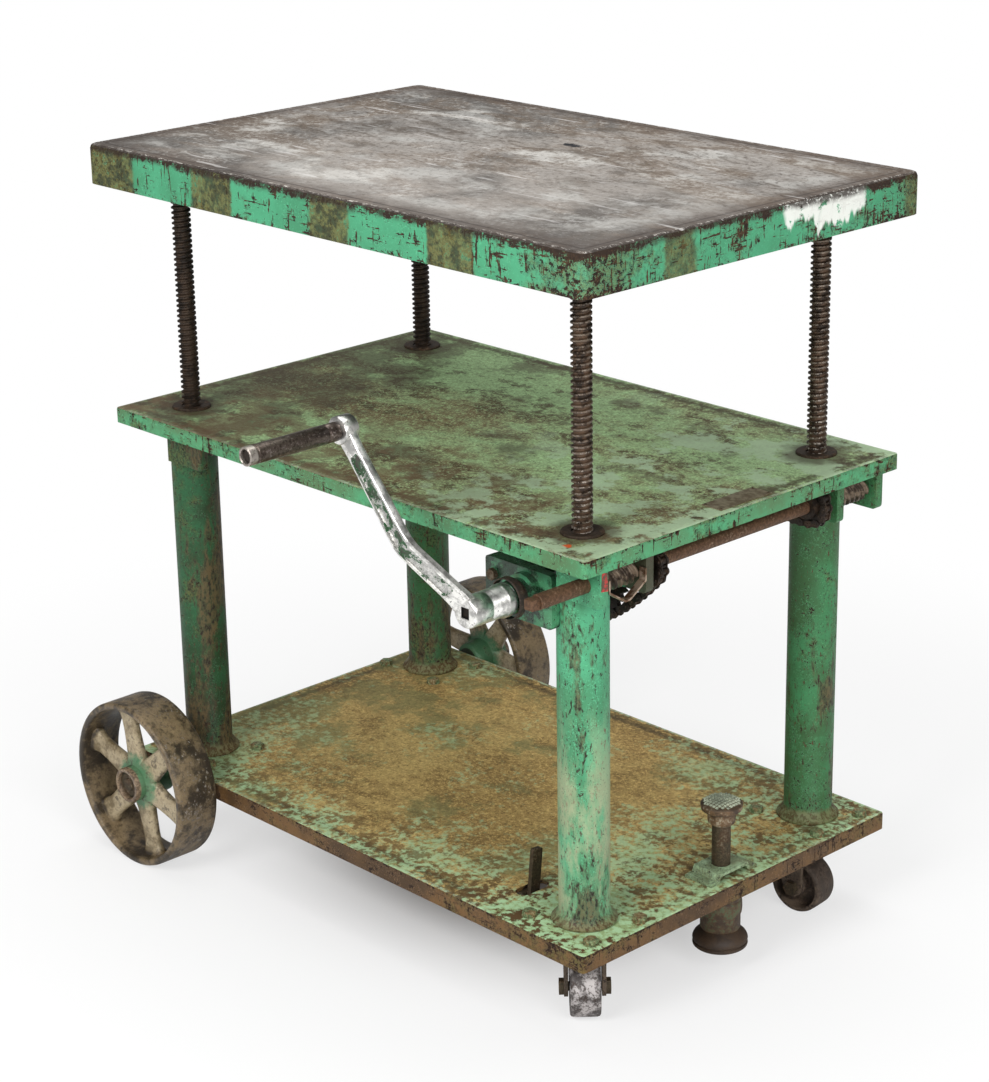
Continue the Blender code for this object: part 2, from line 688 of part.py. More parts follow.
def sprocket(teeth, hub_side, turn=0.0, leans=(-67.5, -22.5, 22.5, 67.5)):
    """A chain sprocket about the Y axis, with a hub on one side, and a valley at the angle given."""
    pitch_radius = CHAIN_PITCH / (2 * math.sin(math.pi / teeth))
    tip = pitch_radius + 0.0022
    seat = (ROLLER_RADIUS + GAP) / math.cos(math.radians(22.5))
    step = 2 * math.pi / teeth
    points = []
    for tooth in range(teeth):
        valley = tooth * step + turn
        for lean in leans:
            across = seat * math.sin(math.radians(lean))
            out = pitch_radius - seat * math.cos(math.radians(lean))
            points.append((out * math.cos(valley) - across * math.sin(valley),
                           out * math.sin(valley) + across * math.cos(valley)))
        for share in (0.43, 0.57):
            angle = valley + share * step
            points.append((tip * math.cos(angle), tip * math.sin(angle)))
    disc = outline([points], SPROCKET_THICK, "XZ")
    hub = rod((0, -SPROCKET_THICK / 4, 0), SPROCKET_THICK * 0.75 + SPROCKET_HUB_LONG, SPROCKET_HUB_RADIUS, "Y")
    if hub_side < 0:
        hub.data.transform(Matrix.Scale(-1, 4, (0, 1, 0)))
        hub.data.flip_normals()
    whole = combine(disc, [hub], "UNION")
    bore = rod((0, -0.03, 0), 0.06, SHAFT_BORE, "Y", 16)
    return combine(whole, [bore], "DIFFERENCE")


def build_cross_shafts():
    """The two cross shafts with their worms and sprockets."""
    long = LEG_Y + PLATE_INNER + BEARING_THICK
    right = rod((0, -SQUARE_END + SQUARE_LONG, 0), SQUARE_END - SQUARE_LONG + long, SHAFT_RADIUS, "Y", 16)
    half = SQUARE / 2
    end = box((-half, -SQUARE_END, -half), (half, -SQUARE_END + SQUARE_LONG + 0.002, half))
    at = (RIGHT_SHAFT_X, 0, SHAFT_HEIGHT)
    piece("cross_shaft_right", combine(right, [end], "UNION"), "dark_steel", at=at)
    left = rod((0, -long + 0.004, 0), 2 * long - 0.008, SHAFT_RADIUS, "Y", 16)
    piece("cross_shaft_left", left, "dark_steel", at=(LEFT_SHAFT_X, 0, SHAFT_HEIGHT))
    for number, (sx, sy) in CORNERS.items():
        piece(f"worm_{number}", worm(), "dark_steel", at=(sx * LEG_X + SHAFT_OUT, sy * LEG_Y, SHAFT_HEIGHT))
    piece("drive_sprocket", sprocket(SMALL_TEETH, 1, DRIVE_ANGLE), "dark_steel",
          at=(RIGHT_SHAFT_X, DRIVE_Y, SHAFT_HEIGHT))
    for name, x in (("link_sprocket_right", RIGHT_SHAFT_X), ("link_sprocket_left", LEFT_SHAFT_X)):
        piece(name, sprocket(SMALL_TEETH, -1, leans=(-30, 30)), "dark_steel", at=(x, LINK_Y, SHAFT_HEIGHT))


def build_worm_guard():
    """The bent strap under the worm at the crank's corner."""
    high = SHAFT_HEIGHT + 0.008
    low = SHAFT_HEIGHT - GUARD_DEPTH + 0.009
    side = PLATE_INNER - GAP
    inner = side - GUARD_SHEET
    guard = [
        (-side, high), (-side, high - 0.016), (-0.004, low), (0.004, low), (side, high - 0.016),
        (side, high), (inner, high), (inner, high - 0.0145), (0.003, low + GUARD_SHEET),
        (-0.003, low + GUARD_SHEET), (-inner, high - 0.0145), (-inner, high),
    ]
    sx, sy = CORNERS[1]
    front = sx * LEG_X + BEARING_REACH - GUARD_WIDE / 2
    strap = outline([guard], GUARD_WIDE, "YZ", at=(front + 0.001, sy * LEG_Y, 0))
    piece("worm_guard", strap, "bright_steel", smooth=False)


def drive_pins():
    """The pins of the drive chain: seated round both sprockets, with a tight and a slack run between."""
    large = CHAIN_PITCH / (2 * math.sin(math.pi / LARGE_TEETH))
    small = CHAIN_PITCH / (2 * math.sin(math.pi / SMALL_TEETH))
    one, two = (CRANK_X, CRANK_HEIGHT), (RIGHT_SHAFT_X, SHAFT_HEIGHT)

    def seated(centre, radius, teeth, count, middle):
        turns = [middle + (i - (count - 1) / 2) * 2 * math.pi / teeth for i in range(count)]
        return [(centre[0] + radius * math.cos(t), centre[1] + radius * math.sin(t)) for t in turns]

    def run(start, end, sag):
        points = []
        for i in range(1, RUN_LINKS):
            share = i / RUN_LINKS
            drop = 4 * sag * share * (1 - share)
            points.append((start[0] + (end[0] - start[0]) * share, start[1] + (end[1] - start[1]) * share - drop))
        return points

    back = seated(one, large, LARGE_TEETH, LARGE_PINS, DRIVE_ANGLE + math.pi)
    front = seated(two, small, SMALL_TEETH, SMALL_PINS, DRIVE_ANGLE)
    return back + run(back[-1], front[0], SAG) + front + run(front[-1], back[0], 0)


def link_outline(one, two, half):
    """A link plate about two pins: a bar with pointed ends."""
    one, two = Vector(one), Vector(two)
    along = (two - one).normalized()
    across = Vector((-along.y, along.x))
    points = []
    for pin, way in ((one, -1), (two, 1)):
        shoulder = pin + way * along * half * 0.25
        points.append(shoulder - way * across * half)
        points.append(pin + way * along * half)
        points.append(shoulder + way * across * half)
    return [tuple(point) for point in points]


def build_drive_chain():
    """The short chain from the crank shaft to the cross shaft, link by link."""
    pins = drive_pins()
    inner_plates = []
    outer_plates = []
    for number, pin in enumerate(pins):
        after = pins[(number + 1) % len(pins)]
        row = inner_plates if number % 2 else outer_plates
        offset = INNER_WIDTH / 2 + LINK_SHEET / 2 + (0 if number % 2 else LINK_SHEET - LINK_LAP)
        for side in (-1, 1):
            plate = link_outline(pin, after, LINK_HALF_HEIGHT * (1 if number % 2 else OUTER_LINK))
            row.append(outline([plate], LINK_SHEET, "XZ", at=(0, DRIVE_Y + side * offset, 0)))
    end = INNER_WIDTH / 2 + LINK_LAP
    rollers = [rod((x, DRIVE_Y - end, z), 2 * end, ROLLER_RADIUS, "Y", 6) for x, z in pins]
    parts = [group(outer_plates), group(rollers)]
    piece("drive_chain", combine(group(inner_plates), parts, "UNION", "MANIFOLD"), "dark_steel", smooth=False)


def chain_loop(radius, width, y, hole_radius):
    """A band round both cross shafts, between two distances from their axes."""
    loops = []
    for reach in (radius, hole_radius):
        right = arc((RIGHT_SHAFT_X, SHAFT_HEIGHT), reach, -90, 90, 8)
        left = arc((LEFT_SHAFT_X, SHAFT_HEIGHT), reach, 90, 270, 8)
        loops.append(right + left)
    return outline(loops, width, "XZ", at=(0, y, 0))


def build_link_chain():
    """The long chain under the middle deck: two rows of link plates with the rollers' band between."""
    small = CHAIN_PITCH / (2 * math.sin(math.pi / SMALL_TEETH))
    low, high = small - LINK_HALF_HEIGHT, small + LINK_HALF_HEIGHT
    band = chain_loop(small + 0.0042, 2 * LINK_CHAIN_HALF - 2 * LINK_SHEET, LINK_Y, small + 0.0028)
    sides = []
    for way in (-1, 1):
        y = LINK_Y + way * (LINK_CHAIN_HALF - LINK_SHEET)
        sides.append(chain_loop(high, 2 * LINK_SHEET, y, low))
    piece("link_chain", combine(band, [group(sides)], "UNION", "MANIFOLD"), "dark_steel", smooth=False)


def build_crank_bracket():
    """The bracket on the crank corner's leg: two bored plates, a top flange and a bearing boss."""
    right = LEG_X - BRACKET_RIGHT
    low = (BRACKET_LEFT, BRACKET_BOTTOM)
    plate = rounded(low, (right, BRACKET_TOP), 0.004, 2)
    front_y = BRACKET_FRONT + BEARING_THICK / 2
    back_y = -LEG_Y + PLATE_INNER + BEARING_THICK / 2
    front = outline([plate], BEARING_THICK, "XZ", at=(0, front_y, 0))
    back = outline([plate], BEARING_THICK, "XZ", at=(0, back_y, 0))
    web_end = LEG_X - LEG_RADIUS - 0.002
    lap = 0.003
    web = box((BRACKET_LEFT + lap, front_y, BRACKET_TOP - BRACKET_WEB), (web_end, back_y, BRACKET_TOP - 0.0005))
    grooved = BOSS_RADIUS - 0.002
    profile = [
        (BOSS_RADIUS - 0.001, 0),
        (BOSS_RADIUS, 0.001),
        (BOSS_RADIUS, 0.009),
        (grooved, 0.011),
        (grooved, 0.014),
        (BOSS_RADIUS, 0.016),
        (BOSS_RADIUS, BOSS_LONG - BOSS_DISC),
        (BOSS_DISC_RADIUS, BOSS_LONG - BOSS_DISC + 0.001),
        (BOSS_DISC_RADIUS, BOSS_LONG + 0.002),
        (0, BOSS_LONG + 0.002),
        (0, 0),
    ]
    boss = turned(profile[::-1], "Y", at=(CRANK_X, BOSS_FRONT, CRANK_HEIGHT))
    whole = combine(front, [back, web, boss], "UNION")
    bore = rod((CRANK_X, BOSS_FRONT - 0.01, CRANK_HEIGHT), 0.2, SHAFT_BORE, "Y", 16)
    piece("crank_bracket", combine(whole, [bore], "DIFFERENCE"), "green_paint")


def build_crank_shaft():
    """The crank shaft, its square end and its large sprocket."""
    end = DRIVE_Y + SPROCKET_THICK / 2 + SPROCKET_HUB_LONG + 0.004
    start = BOSS_FRONT
    shaft = rod((0, start, 0), end - start, SHAFT_RADIUS, "Y", 16)
    half = SQUARE / 2
    square = box((-half, CRANK_FRONT + 0.020, -half), (half, start + 0.002, half))
    at = (CRANK_X, 0, CRANK_HEIGHT)
    piece("crank_shaft", combine(shaft, [square], "UNION"), "dark_steel", at=at)
    piece("crank_sprocket", sprocket(LARGE_TEETH, 1, DRIVE_ANGLE + math.pi), "dark_steel",
          at=(CRANK_X, DRIVE_Y, CRANK_HEIGHT))


def arm_outline(grow):
    """The crank arm seen from the front, along +X from the hub, tapering to the eye."""
    hub = CRANK_WIDE_HUB / 2 + grow
    eye = CRANK_WIDE_EYE / 2 + grow
    return [(-0.002, -hub), (CRANK_RADIUS + 0.002, -eye), (CRANK_RADIUS + 0.002, eye), (-0.002, hub)]


def arm_side(front, back):
    """The crank arm seen from its side, as (along, depth) points between a front and a back face."""
    bend = 0.012
    line = [(-0.003, 0), (bend, 0), (CRANK_BEND - bend, -CRANK_OFFSET * 0.96),
            (CRANK_BEND + bend, -CRANK_OFFSET), (CRANK_RADIUS + 0.003, -CRANK_OFFSET)]
    return [(s, y + front) for s, y in line] + [(s, y + back) for s, y in reversed(line)]


def build_crank():
    """The forged crank arm with its hub and eye, the spindle in the eye and the turning grip."""
    half = CRANK_THICK / 2
    # The arm is made along +X with its depth along Y, then turned to the crank's angle
    face = outline([arm_outline(0)], 0.2, "XZ")
    side = outline([arm_side(-half, half)], 0.1, "XY")
    arm = combine(face, [side], "INTERSECT")
    recess_face = outline([[(0.030, -0.0105), (0.222, -0.0065), (0.222, 0.0065), (0.030, 0.0105)]], 0.2, "XZ")
    recess_side = outline([arm_side(-half - 0.02, -half + CRANK_RECESS)], 0.1, "XY")
    recess = combine(recess_face, [recess_side], "INTERSECT")
    arm = combine(arm, [recess], "DIFFERENCE")
    reach = CRANK_FRONT - ARM_Y
    hub_profile = [
        (CRANK_HUB_RADIUS - 0.002, 0), (CRANK_HUB_RADIUS, 0.003),
        (CRANK_HUB_RADIUS, CRANK_HUB_LONG - CRANK_COLLAR - 0.002),
        (CRANK_COLLAR_RADIUS, CRANK_HUB_LONG - CRANK_COLLAR), (CRANK_COLLAR_RADIUS, CRANK_HUB_LONG - 0.001),
        (CRANK_COLLAR_RADIUS - 0.001, CRANK_HUB_LONG), (0, CRANK_HUB_LONG), (0, 0),
    ]
    hub = turned(hub_profile[::-1], "Y", at=(0, reach, 0))
    eye = rod((CRANK_RADIUS, -CRANK_OFFSET - EYE_LONG / 2, 0), EYE_LONG, EYE_RADIUS, "Y")
    arm = combine(arm, [hub, eye], "UNION")
    arm.data.transform(Matrix.Rotation(-CRANK_ANGLE, 4, "Y"))
    ex, ez = CRANK_RADIUS * math.cos(CRANK_ANGLE), CRANK_RADIUS * math.sin(CRANK_ANGLE)
    half_socket = SQUARE / 2 + GAP
    socket = box((-half_socket, -0.1, -half_socket), (half_socket, 0.1, half_socket))
    spindle_bore = rod((ex, -0.1, ez), 0.2, SPINDLE_RADIUS * 0.8 + GAP, "Y", 16)
    arm = combine(arm, [socket, spindle_bore], "DIFFERENCE")
    piece("crank_arm", arm, "bright_steel", at=(CRANK_X, ARM_Y, CRANK_HEIGHT))

    back = EYE_Y + EYE_LONG / 2
    neck = rod((0, GRIP_START, 0), back + 0.001 - GRIP_START, SPINDLE_RADIUS * 0.8, "Y", 16)
    core = rod((0, GRIP_END + 0.003, 0), GRIP_START - GRIP_END - 0.0028, SPINDLE_RADIUS, "Y", 16)
    head = rod((0, back + GAP, 0), 0.003, EYE_RADIUS - 0.006, "Y", 16)
    spindle = combine(core, [neck, head], "UNION")
    place = (CRANK_X + ex, 0, CRANK_HEIGHT + ez)
    piece("crank_spindle", spindle, "dark_steel", at=place)
    bore = SPINDLE_RADIUS + GAP
    profile = [
        (GRIP_RADIUS - 0.001, 0), (GRIP_RADIUS, 0.001), (GRIP_RADIUS, GRIP_LONG - 0.0005),
        (bore, GRIP_LONG - 0.0005), (bore, 0),
    ]
    grip = turned(profile[::-1], "Y", at=(0, GRIP_END, 0))
    piece("crank_grip", grip, "dark_steel", at=place)


def spoked_wheel(side, turn):
    """A cast wheel with six tapered spokes, a deep flat rim and a hub recessed at its outer end."""
    width, outer = WHEEL_WIDTH, WHEEL_RADIUS
    hub_in = 0.0015
    rim_profile = [
        (outer - 0.003, 0), (outer, 0.004), (outer, width - 0.004), (outer - 0.003, width),
        (outer - WHEEL_RIM, width), (outer - WHEEL_RIM - 0.003, width / 2), (outer - WHEEL_RIM, 0),
    ]
    rim = turned(rim_profile[::-1], "Y", sides=FINE)
    hub_profile = [
        (WHEEL_HUB_RADIUS - 0.002, hub_in), (WHEEL_HUB_RADIUS, hub_in + 0.002),
        (WHEEL_HUB_RADIUS, width + WHEEL_HUB_OUT - 0.002), (WHEEL_HUB_RADIUS - 0.002, width + WHEEL_HUB_OUT),
        (WHEEL_RECESS_RADIUS, width + WHEEL_HUB_OUT), (WHEEL_RECESS_RADIUS, width + WHEEL_HUB_OUT - WHEEL_RECESS),
        (0, width + WHEEL_HUB_OUT - WHEEL_RECESS), (0, hub_in),
    ]
    hub = turned(hub_profile[::-1], "Y")
    spokes = []
    inner, reach = WHEEL_HUB_RADIUS - 0.004, outer - WHEEL_RIM - 0.0015
    for number in range(SPOKES):
        flat = [(inner, -SPOKE_WIDE_HUB / 2), (reach, -SPOKE_WIDE_RIM / 2),
                (reach, SPOKE_WIDE_RIM / 2), (inner, SPOKE_WIDE_HUB / 2)]
        spoke = outline([flat], SPOKE_THICK, "XZ", at=(0, width / 2, 0))
        angle = turn + 2 * math.pi * number / SPOKES
        spoke.data.transform(Matrix.Rotation(-angle, 4, "Y"))
        spokes.append(spoke)
    whole = combine(hub, spokes, "UNION")
    whole = combine(whole, [rim], "UNION")
    bore = rod((0, -0.02, 0), 0.12, AXLE_RADIUS + GAP, "Y", 16)
    whole = combine(whole, [bore], "DIFFERENCE")
    if side < 0:
        whole.data.transform(Matrix.Scale(-1, 4, (0, 1, 0)))
        whole.data.flip_normals()
    return whole


def build_wheels():
    """Both spoked wheels, their through axle, the washers on it and the saddles that hold it."""
    for name, side, turn in (("big_wheel_1", -1, math.radians(45)), ("big_wheel_2", 1, math.radians(70))):
        made = spoked_wheel(side, turn)
        piece(name, made, "cast_iron", at=(WHEEL_X, side * WHEEL_INNER, AXLE_HEIGHT))
    end = WHEEL_HUB_END - 0.003
    piece("wheel_axle", rod((0, -end, 0), 2 * end, AXLE_RADIUS, "Y", 16), "dark_steel",
          at=(WHEEL_X, 0, AXLE_HEIGHT))
    ring = [(AXLE_WASHER_RADIUS, AXLE_WASHER), (AXLE_WASHER_RADIUS, 0), (AXLE_RADIUS + GAP, 0),
            (AXLE_RADIUS + GAP, AXLE_WASHER)]
    outer = WHEEL_HUB_END - WHEEL_RECESS + GAP
    for number, start in ((1, -outer - AXLE_WASHER), (2, outer)):
        piece(f"axle_washer_{number}", turned(ring, "Y", at=(0, start, 0), sides=16), "dark_steel",
              at=(WHEEL_X, 0, AXLE_HEIGHT))
    inner, outer = AXLE_RADIUS + GAP, AXLE_RADIUS + GAP + SADDLE_SHEET
    top = LOW_UNDERSIDE - GAP
    low = top - SADDLE_SHEET
    profile = [(-outer - SADDLE_FOOT, top), (-outer - SADDLE_FOOT, low), (-outer, low)]
    profile += [(x, z) for x, z in arc((0, AXLE_HEIGHT), outer, 180, 360, 8)]
    profile += [(outer, low), (outer + SADDLE_FOOT, low), (outer + SADDLE_FOOT, top), (inner, top)]
    profile += [(x, z) for x, z in arc((0, AXLE_HEIGHT), inner, 360, 180, 8)]
    profile += [(-inner, top)]
    for number, side in ((1, -1), (2, 1)):
        saddle = outline([profile], SADDLE_WIDE, "XZ")
        piece(f"axle_saddle_{number}", saddle, "dark_steel", smooth=False, at=(WHEEL_X, side * SADDLE_Y, 0))


def build_casters():
    """The two swivel casters: fixed plates with kingpins, forks, wheels and pins."""
    top = LOW_UNDERSIDE - GAP
    race_top = top - CASTER_PLATE
    dish_top = race_top - CASTER_RACE - GAP
    plate_bottom = dish_top - 0.006
    for number, side in ((1, -1), (2, 1)):
        half = (CASTER_PLATE_LENGTH / 2, CASTER_PLATE_WIDTH / 2)
        base = box((-half[0], -half[1], race_top), (half[0], half[1], top))
        head = plate_bottom - GAP - KINGPIN_HEAD
        profile = [
            (KINGPIN_RADIUS, race_top + 0.002), (CASTER_RACE_RADIUS, race_top + 0.002),
            (CASTER_RACE_RADIUS, race_top - CASTER_RACE), (KINGPIN_RADIUS, race_top - CASTER_RACE),
            (KINGPIN_RADIUS, head + KINGPIN_HEAD), (KINGPIN_HEAD_RADIUS, head + KINGPIN_HEAD),
            (KINGPIN_HEAD_RADIUS, head), (0, head), (0, race_top + 0.002),
        ]
        plate = combine(base, [turned(profile[1:])], "UNION")
        piece(f"caster_plate_{number}", plate, "dark_steel", at=(CASTER_X, side * CASTER_Y, 0))
    for number, side, angle in ((1, -1, NEAR_TRAIL_ANGLE), (2, 1, FAR_TRAIL_ANGLE)):
        build_fork(number, side, angle, dish_top, plate_bottom)


def build_fork(number, side, angle, dish_top, plate_bottom):
    """One caster's fork, wheel and pin, made trailing along +X and then turned on the kingpin."""
    inner = CASTER_WIDTH / 2 + FORK_SIDE_GAP
    outer = inner + FORK_THICK
    dish = [
        (CASTER_DISH_RADIUS - 0.004, dish_top), (CASTER_DISH_RADIUS, dish_top - 0.003),
        (CASTER_DISH_RADIUS - 0.003, dish_top - CASTER_DISH), (CASTER_DISH_RADIUS - 0.008, dish_top - CASTER_DISH),
        (CASTER_DISH_RADIUS - 0.010, plate_bottom), (KINGPIN_RADIUS + GAP, plate_bottom),
        (KINGPIN_RADIUS + GAP, dish_top),
    ]
    body = turned(dish)
    cheek = [(-FORK_WIDE_TOP / 2 + 0.004, plate_bottom + 0.003), (-FORK_WIDE_TOP / 2 + 0.010, plate_bottom - 0.012)]
    low = arc((CASTER_TRAIL, CASTER_RADIUS), FORK_WIDE_AXLE / 2, 200, 350, 5)
    cheek += low + [(FORK_WIDE_TOP / 2 + 0.002, plate_bottom - 0.012), (FORK_WIDE_TOP / 2, plate_bottom + 0.003)]
    cheeks = []
    for way in (-1, 1):
        cheeks.append(outline([cheek], FORK_THICK, "XZ", at=(0, way * (inner + outer) / 2, 0)))
    body = combine(body, cheeks, "UNION")
    hole = rod((CASTER_TRAIL, -0.05, CASTER_RADIUS), 0.1, CASTER_PIN_RADIUS + GAP, "Y", 12)
    body = combine(body, [hole], "DIFFERENCE")
    edge, half, web = CASTER_RADIUS - CASTER_TREAD, CASTER_WIDTH / 2, CASTER_WEB / 2
    profile = [
        (CASTER_RADIUS - 0.003, -half), (CASTER_RADIUS, -half + 0.003), (CASTER_RADIUS, half - 0.003),
        (CASTER_RADIUS - 0.003, half), (edge, half), (edge - 0.003, web), (CASTER_HUB_RADIUS, web),
        (CASTER_HUB_RADIUS, half), (CASTER_PIN_RADIUS + GAP, half), (CASTER_PIN_RADIUS + GAP, -half),
        (CASTER_HUB_RADIUS, -half), (CASTER_HUB_RADIUS, -web), (edge - 0.003, -web), (edge, -half),
    ]
    wheel = turned(profile[::-1], "Y", at=(CASTER_TRAIL, 0, CASTER_RADIUS))
    reach = outer + GAP
    pin = rod((CASTER_TRAIL, -reach - 0.001, CASTER_RADIUS), 2 * reach + 0.002, CASTER_PIN_RADIUS, "Y", 12)
    ends = []
    for start in (-reach - CASTER_NUT, reach):
        ends.append(rod((CASTER_TRAIL, start, CASTER_RADIUS), CASTER_NUT, CASTER_NUT_RADIUS, "Y", 6))
    pin = combine(pin, ends, "UNION")
    turn = Matrix.Rotation(angle, 4, "Z")
    at = (CASTER_X, side * CASTER_Y, 0)
    for name, made, finish in (("fork", body, "dark_steel"), ("wheel", wheel, "cast_iron"), ("pin", pin, "dark_steel")):
        made.data.transform(turn)
        piece(f"caster_{name}_{number}", made, finish, at=at)


def build_floor_lock():
    """The foot-operated floor lock: strap, barrel, stem, button with its neck, and foot."""
    at = (LOCK_X, 0, 0)
    base = LOW_HEIGHT + GAP
    high, sheet = base + LOCK_STRAP_HIGH, LOCK_STRAP_SHEET
    half, flat = LOCK_STRAP_LENGTH / 2, LOCK_STRAP_TOP / 2
    hat = [(-half, base), (-half, base + sheet), (-flat - 0.004, base + sheet), (-flat, high), (flat, high),
           (flat + 0.004, base + sheet), (half, base + sheet), (half, base),
           (flat + 0.002, base), (flat - 0.003, high - sheet), (-flat + 0.003, high - sheet), (-flat - 0.002, base)]
    strap = outline([hat], LOCK_STRAP_WIDE, "YZ")
    hole = rod((0, 0, base - 0.01), 0.04, LOCK_STEM_RADIUS + GAP)
    piece("lock_strap", combine(strap, [hole], "DIFFERENCE"), "dark_steel", smooth=False, at=at)
    top = LOW_UNDERSIDE - GAP
    bore = LOCK_STEM_RADIUS + GAP
    barrel = [
        (LOCK_BARREL_RADIUS, top), (LOCK_BARREL_RADIUS, LOCK_BARREL_BOTTOM + 0.016),
        (LOCK_BARREL_RADIUS - 0.0015, LOCK_BARREL_BOTTOM + 0.014),
        (LOCK_BARREL_RADIUS - 0.0015, LOCK_BARREL_BOTTOM), (bore, LOCK_BARREL_BOTTOM), (bore, top),
    ]
    piece("lock_barrel", turned(barrel), "green_paint", at=at)
    foot_top = LOCK_BARREL_BOTTOM - GAP
    stem_top = LOCK_BUTTON_BOTTOM - LOCK_NECK
    stem = rod((0, 0, foot_top + GAP), stem_top - foot_top - 2 * GAP, LOCK_STEM_RADIUS)
    piece("lock_stem", stem, "dark_steel", at=at)
    rim_top = LOCK_BUTTON_BOTTOM + LOCK_BUTTON_RIM
    dome = [(LOCK_BUTTON_RADIUS * math.sin(t), rim_top + LOCK_BUTTON_DOME * math.cos(t))
            for t in (0.0, 0.45, 0.85, 1.2, math.pi / 2)]
    button = dome + [
        (LOCK_BUTTON_RADIUS - 0.004, LOCK_BUTTON_BOTTOM), (LOCK_NECK_RADIUS, LOCK_BUTTON_BOTTOM),
        (LOCK_NECK_RADIUS, stem_top + 0.006), (LOCK_NECK_RADIUS - 0.003, stem_top), (0, stem_top),
    ]
    piece("lock_button", turned(button), "dark_steel", at=at)
    foot = [
        (LOCK_BARREL_RADIUS - 0.003, foot_top), (LOCK_FOOT_TOP_RADIUS, foot_top - 0.004),
        (LOCK_FOOT_RADIUS, LOCK_FOOT_BOTTOM + LOCK_FOOT_RIM), (LOCK_FOOT_RADIUS, LOCK_FOOT_BOTTOM + 0.003),
        (LOCK_FOOT_RADIUS - 0.004, LOCK_FOOT_BOTTOM), (0, LOCK_FOOT_BOTTOM), (0, foot_top),
    ]
    piece("lock_foot", turned(foot), "dark_steel", at=at)


def build_lever():
    """The toe lever that leans through a slot in the lower deck, and the bracket it pivots in."""
    half = LEVER_WIDE / 2
    high = LEVER_TOP - LEVER_PIVOT
    bar = rounded((-half, -LEVER_TAIL), (half, high), 0.003, 2)
    plate = outline([bar], LEVER_THICK, "YZ")
    hole = rod((-0.02, 0, 0), 0.04, LEVER_PIN_RADIUS + GAP, "X", 12)
    lever = combine(plate, [hole], "DIFFERENCE")
    lever.data.transform(Matrix.Rotation(-LEVER_LEAN, 4, "X"))
    piece("toe_lever", lever, "dark_steel", smooth=False, at=(LEVER_X, LEVER_Y, LEVER_PIVOT))
    inner = LEVER_THICK / 2 + FIT_GAP
    outer = inner + LEVER_EAR
    top = LOW_UNDERSIDE - GAP
    foot = LEVER_SLOT_WIDE / 2 + 0.014
    wide = LEVER_EAR_WIDE / 2
    ear = [(-wide, top), (-wide + 0.006, LEVER_PIVOT - LEVER_EAR_BOTTOM),
           (wide - 0.006, LEVER_PIVOT - LEVER_EAR_BOTTOM), (wide, top)]
    parts = []
    for way in (-1, 1):
        parts.append(outline([ear], LEVER_EAR, "YZ", at=(way * (inner + outer) / 2, 0, 0)))
        edge = sorted((way * (outer - 0.001), way * foot))
        parts.append(box((edge[0], -wide, top - LEVER_EAR), (edge[1], wide, top)))
    pin = rod((-outer - 0.003, 0, LEVER_PIVOT), 2 * outer + 0.006, LEVER_PIN_RADIUS, "X", 12)
    bracket = combine(pin, parts, "UNION")
    piece("lever_bracket", bracket, "dark_steel", smooth=False, at=(LEVER_X, LEVER_Y, 0))


build_table()
build_decks()
build_legs()
build_nut_gears()
build_cross_shafts()
build_worm_guard()
build_drive_chain()
build_link_chain()
build_crank_bracket()
build_crank_shaft()
build_crank()
build_wheels()
build_casters()
build_floor_lock()
build_lever()
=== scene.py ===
"""Dresses the mobile die cart: worn paint, threads, chains, cast wheels, fasteners and a plain studio."""
import math

import bmesh
import bpy
from bpy.props import FloatProperty, FloatVectorProperty, IntProperty, PointerProperty
from mathutils import Matrix, Vector


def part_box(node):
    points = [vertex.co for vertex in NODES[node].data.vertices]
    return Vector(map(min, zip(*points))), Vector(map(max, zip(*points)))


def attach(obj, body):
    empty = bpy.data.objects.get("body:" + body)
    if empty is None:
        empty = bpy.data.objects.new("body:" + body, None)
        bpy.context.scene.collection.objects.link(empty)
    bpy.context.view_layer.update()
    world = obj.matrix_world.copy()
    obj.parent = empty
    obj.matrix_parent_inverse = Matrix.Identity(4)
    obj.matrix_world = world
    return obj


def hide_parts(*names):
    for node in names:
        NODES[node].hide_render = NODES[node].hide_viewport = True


bl_info = {
    "name": "Mobile Die Cart",
    "version": (1, 0, 0),
    "blender": (4, 5, 0),
    "location": "3D View > Sidebar > Die Cart",
    "description": "Adds the finishes and fine pieces of a screw-lift die cart",
    "category": "Object",
}

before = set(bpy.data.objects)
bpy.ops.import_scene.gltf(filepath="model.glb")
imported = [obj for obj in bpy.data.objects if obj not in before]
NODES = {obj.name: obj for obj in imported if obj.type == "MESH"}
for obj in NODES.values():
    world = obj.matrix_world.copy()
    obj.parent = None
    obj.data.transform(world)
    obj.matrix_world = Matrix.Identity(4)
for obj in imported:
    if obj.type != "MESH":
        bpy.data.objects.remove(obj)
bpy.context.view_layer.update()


def middle(node):
    """The centre of a CAD node's box."""
    low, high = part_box(node)
    return (Vector(low) + Vector(high)) / 2


def top_of(node):
    """The height of a CAD node's upper side."""
    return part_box(node)[1][2]


def half_of(node):
    """Half of a CAD node's length and width."""
    low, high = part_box(node)
    return (high[0] - low[0]) / 2, (high[1] - low[1]) / 2


# Places read from the frame
LEGS = {number: middle(f"lift_screw_{number}") for number in (1, 2, 3, 4)}
CENTRE = (LEGS[1] + LEGS[4]) / 2
TABLE_TOP = top_of("table_top")
MID_TOP = top_of("mid_deck")
LOW_TOP = top_of("lower_deck")
TABLE_HALF = half_of("table_top")
MID_HALF = half_of("mid_deck")
LOW_HALF = half_of("lower_deck")
AXLE = middle("wheel_axle")
CRANK_AXIS = middle("crank_sprocket")
RIGHT_AXIS = middle("drive_sprocket")
LEFT_AXIS = middle("link_sprocket_left")
LOCK = middle("lock_stem")

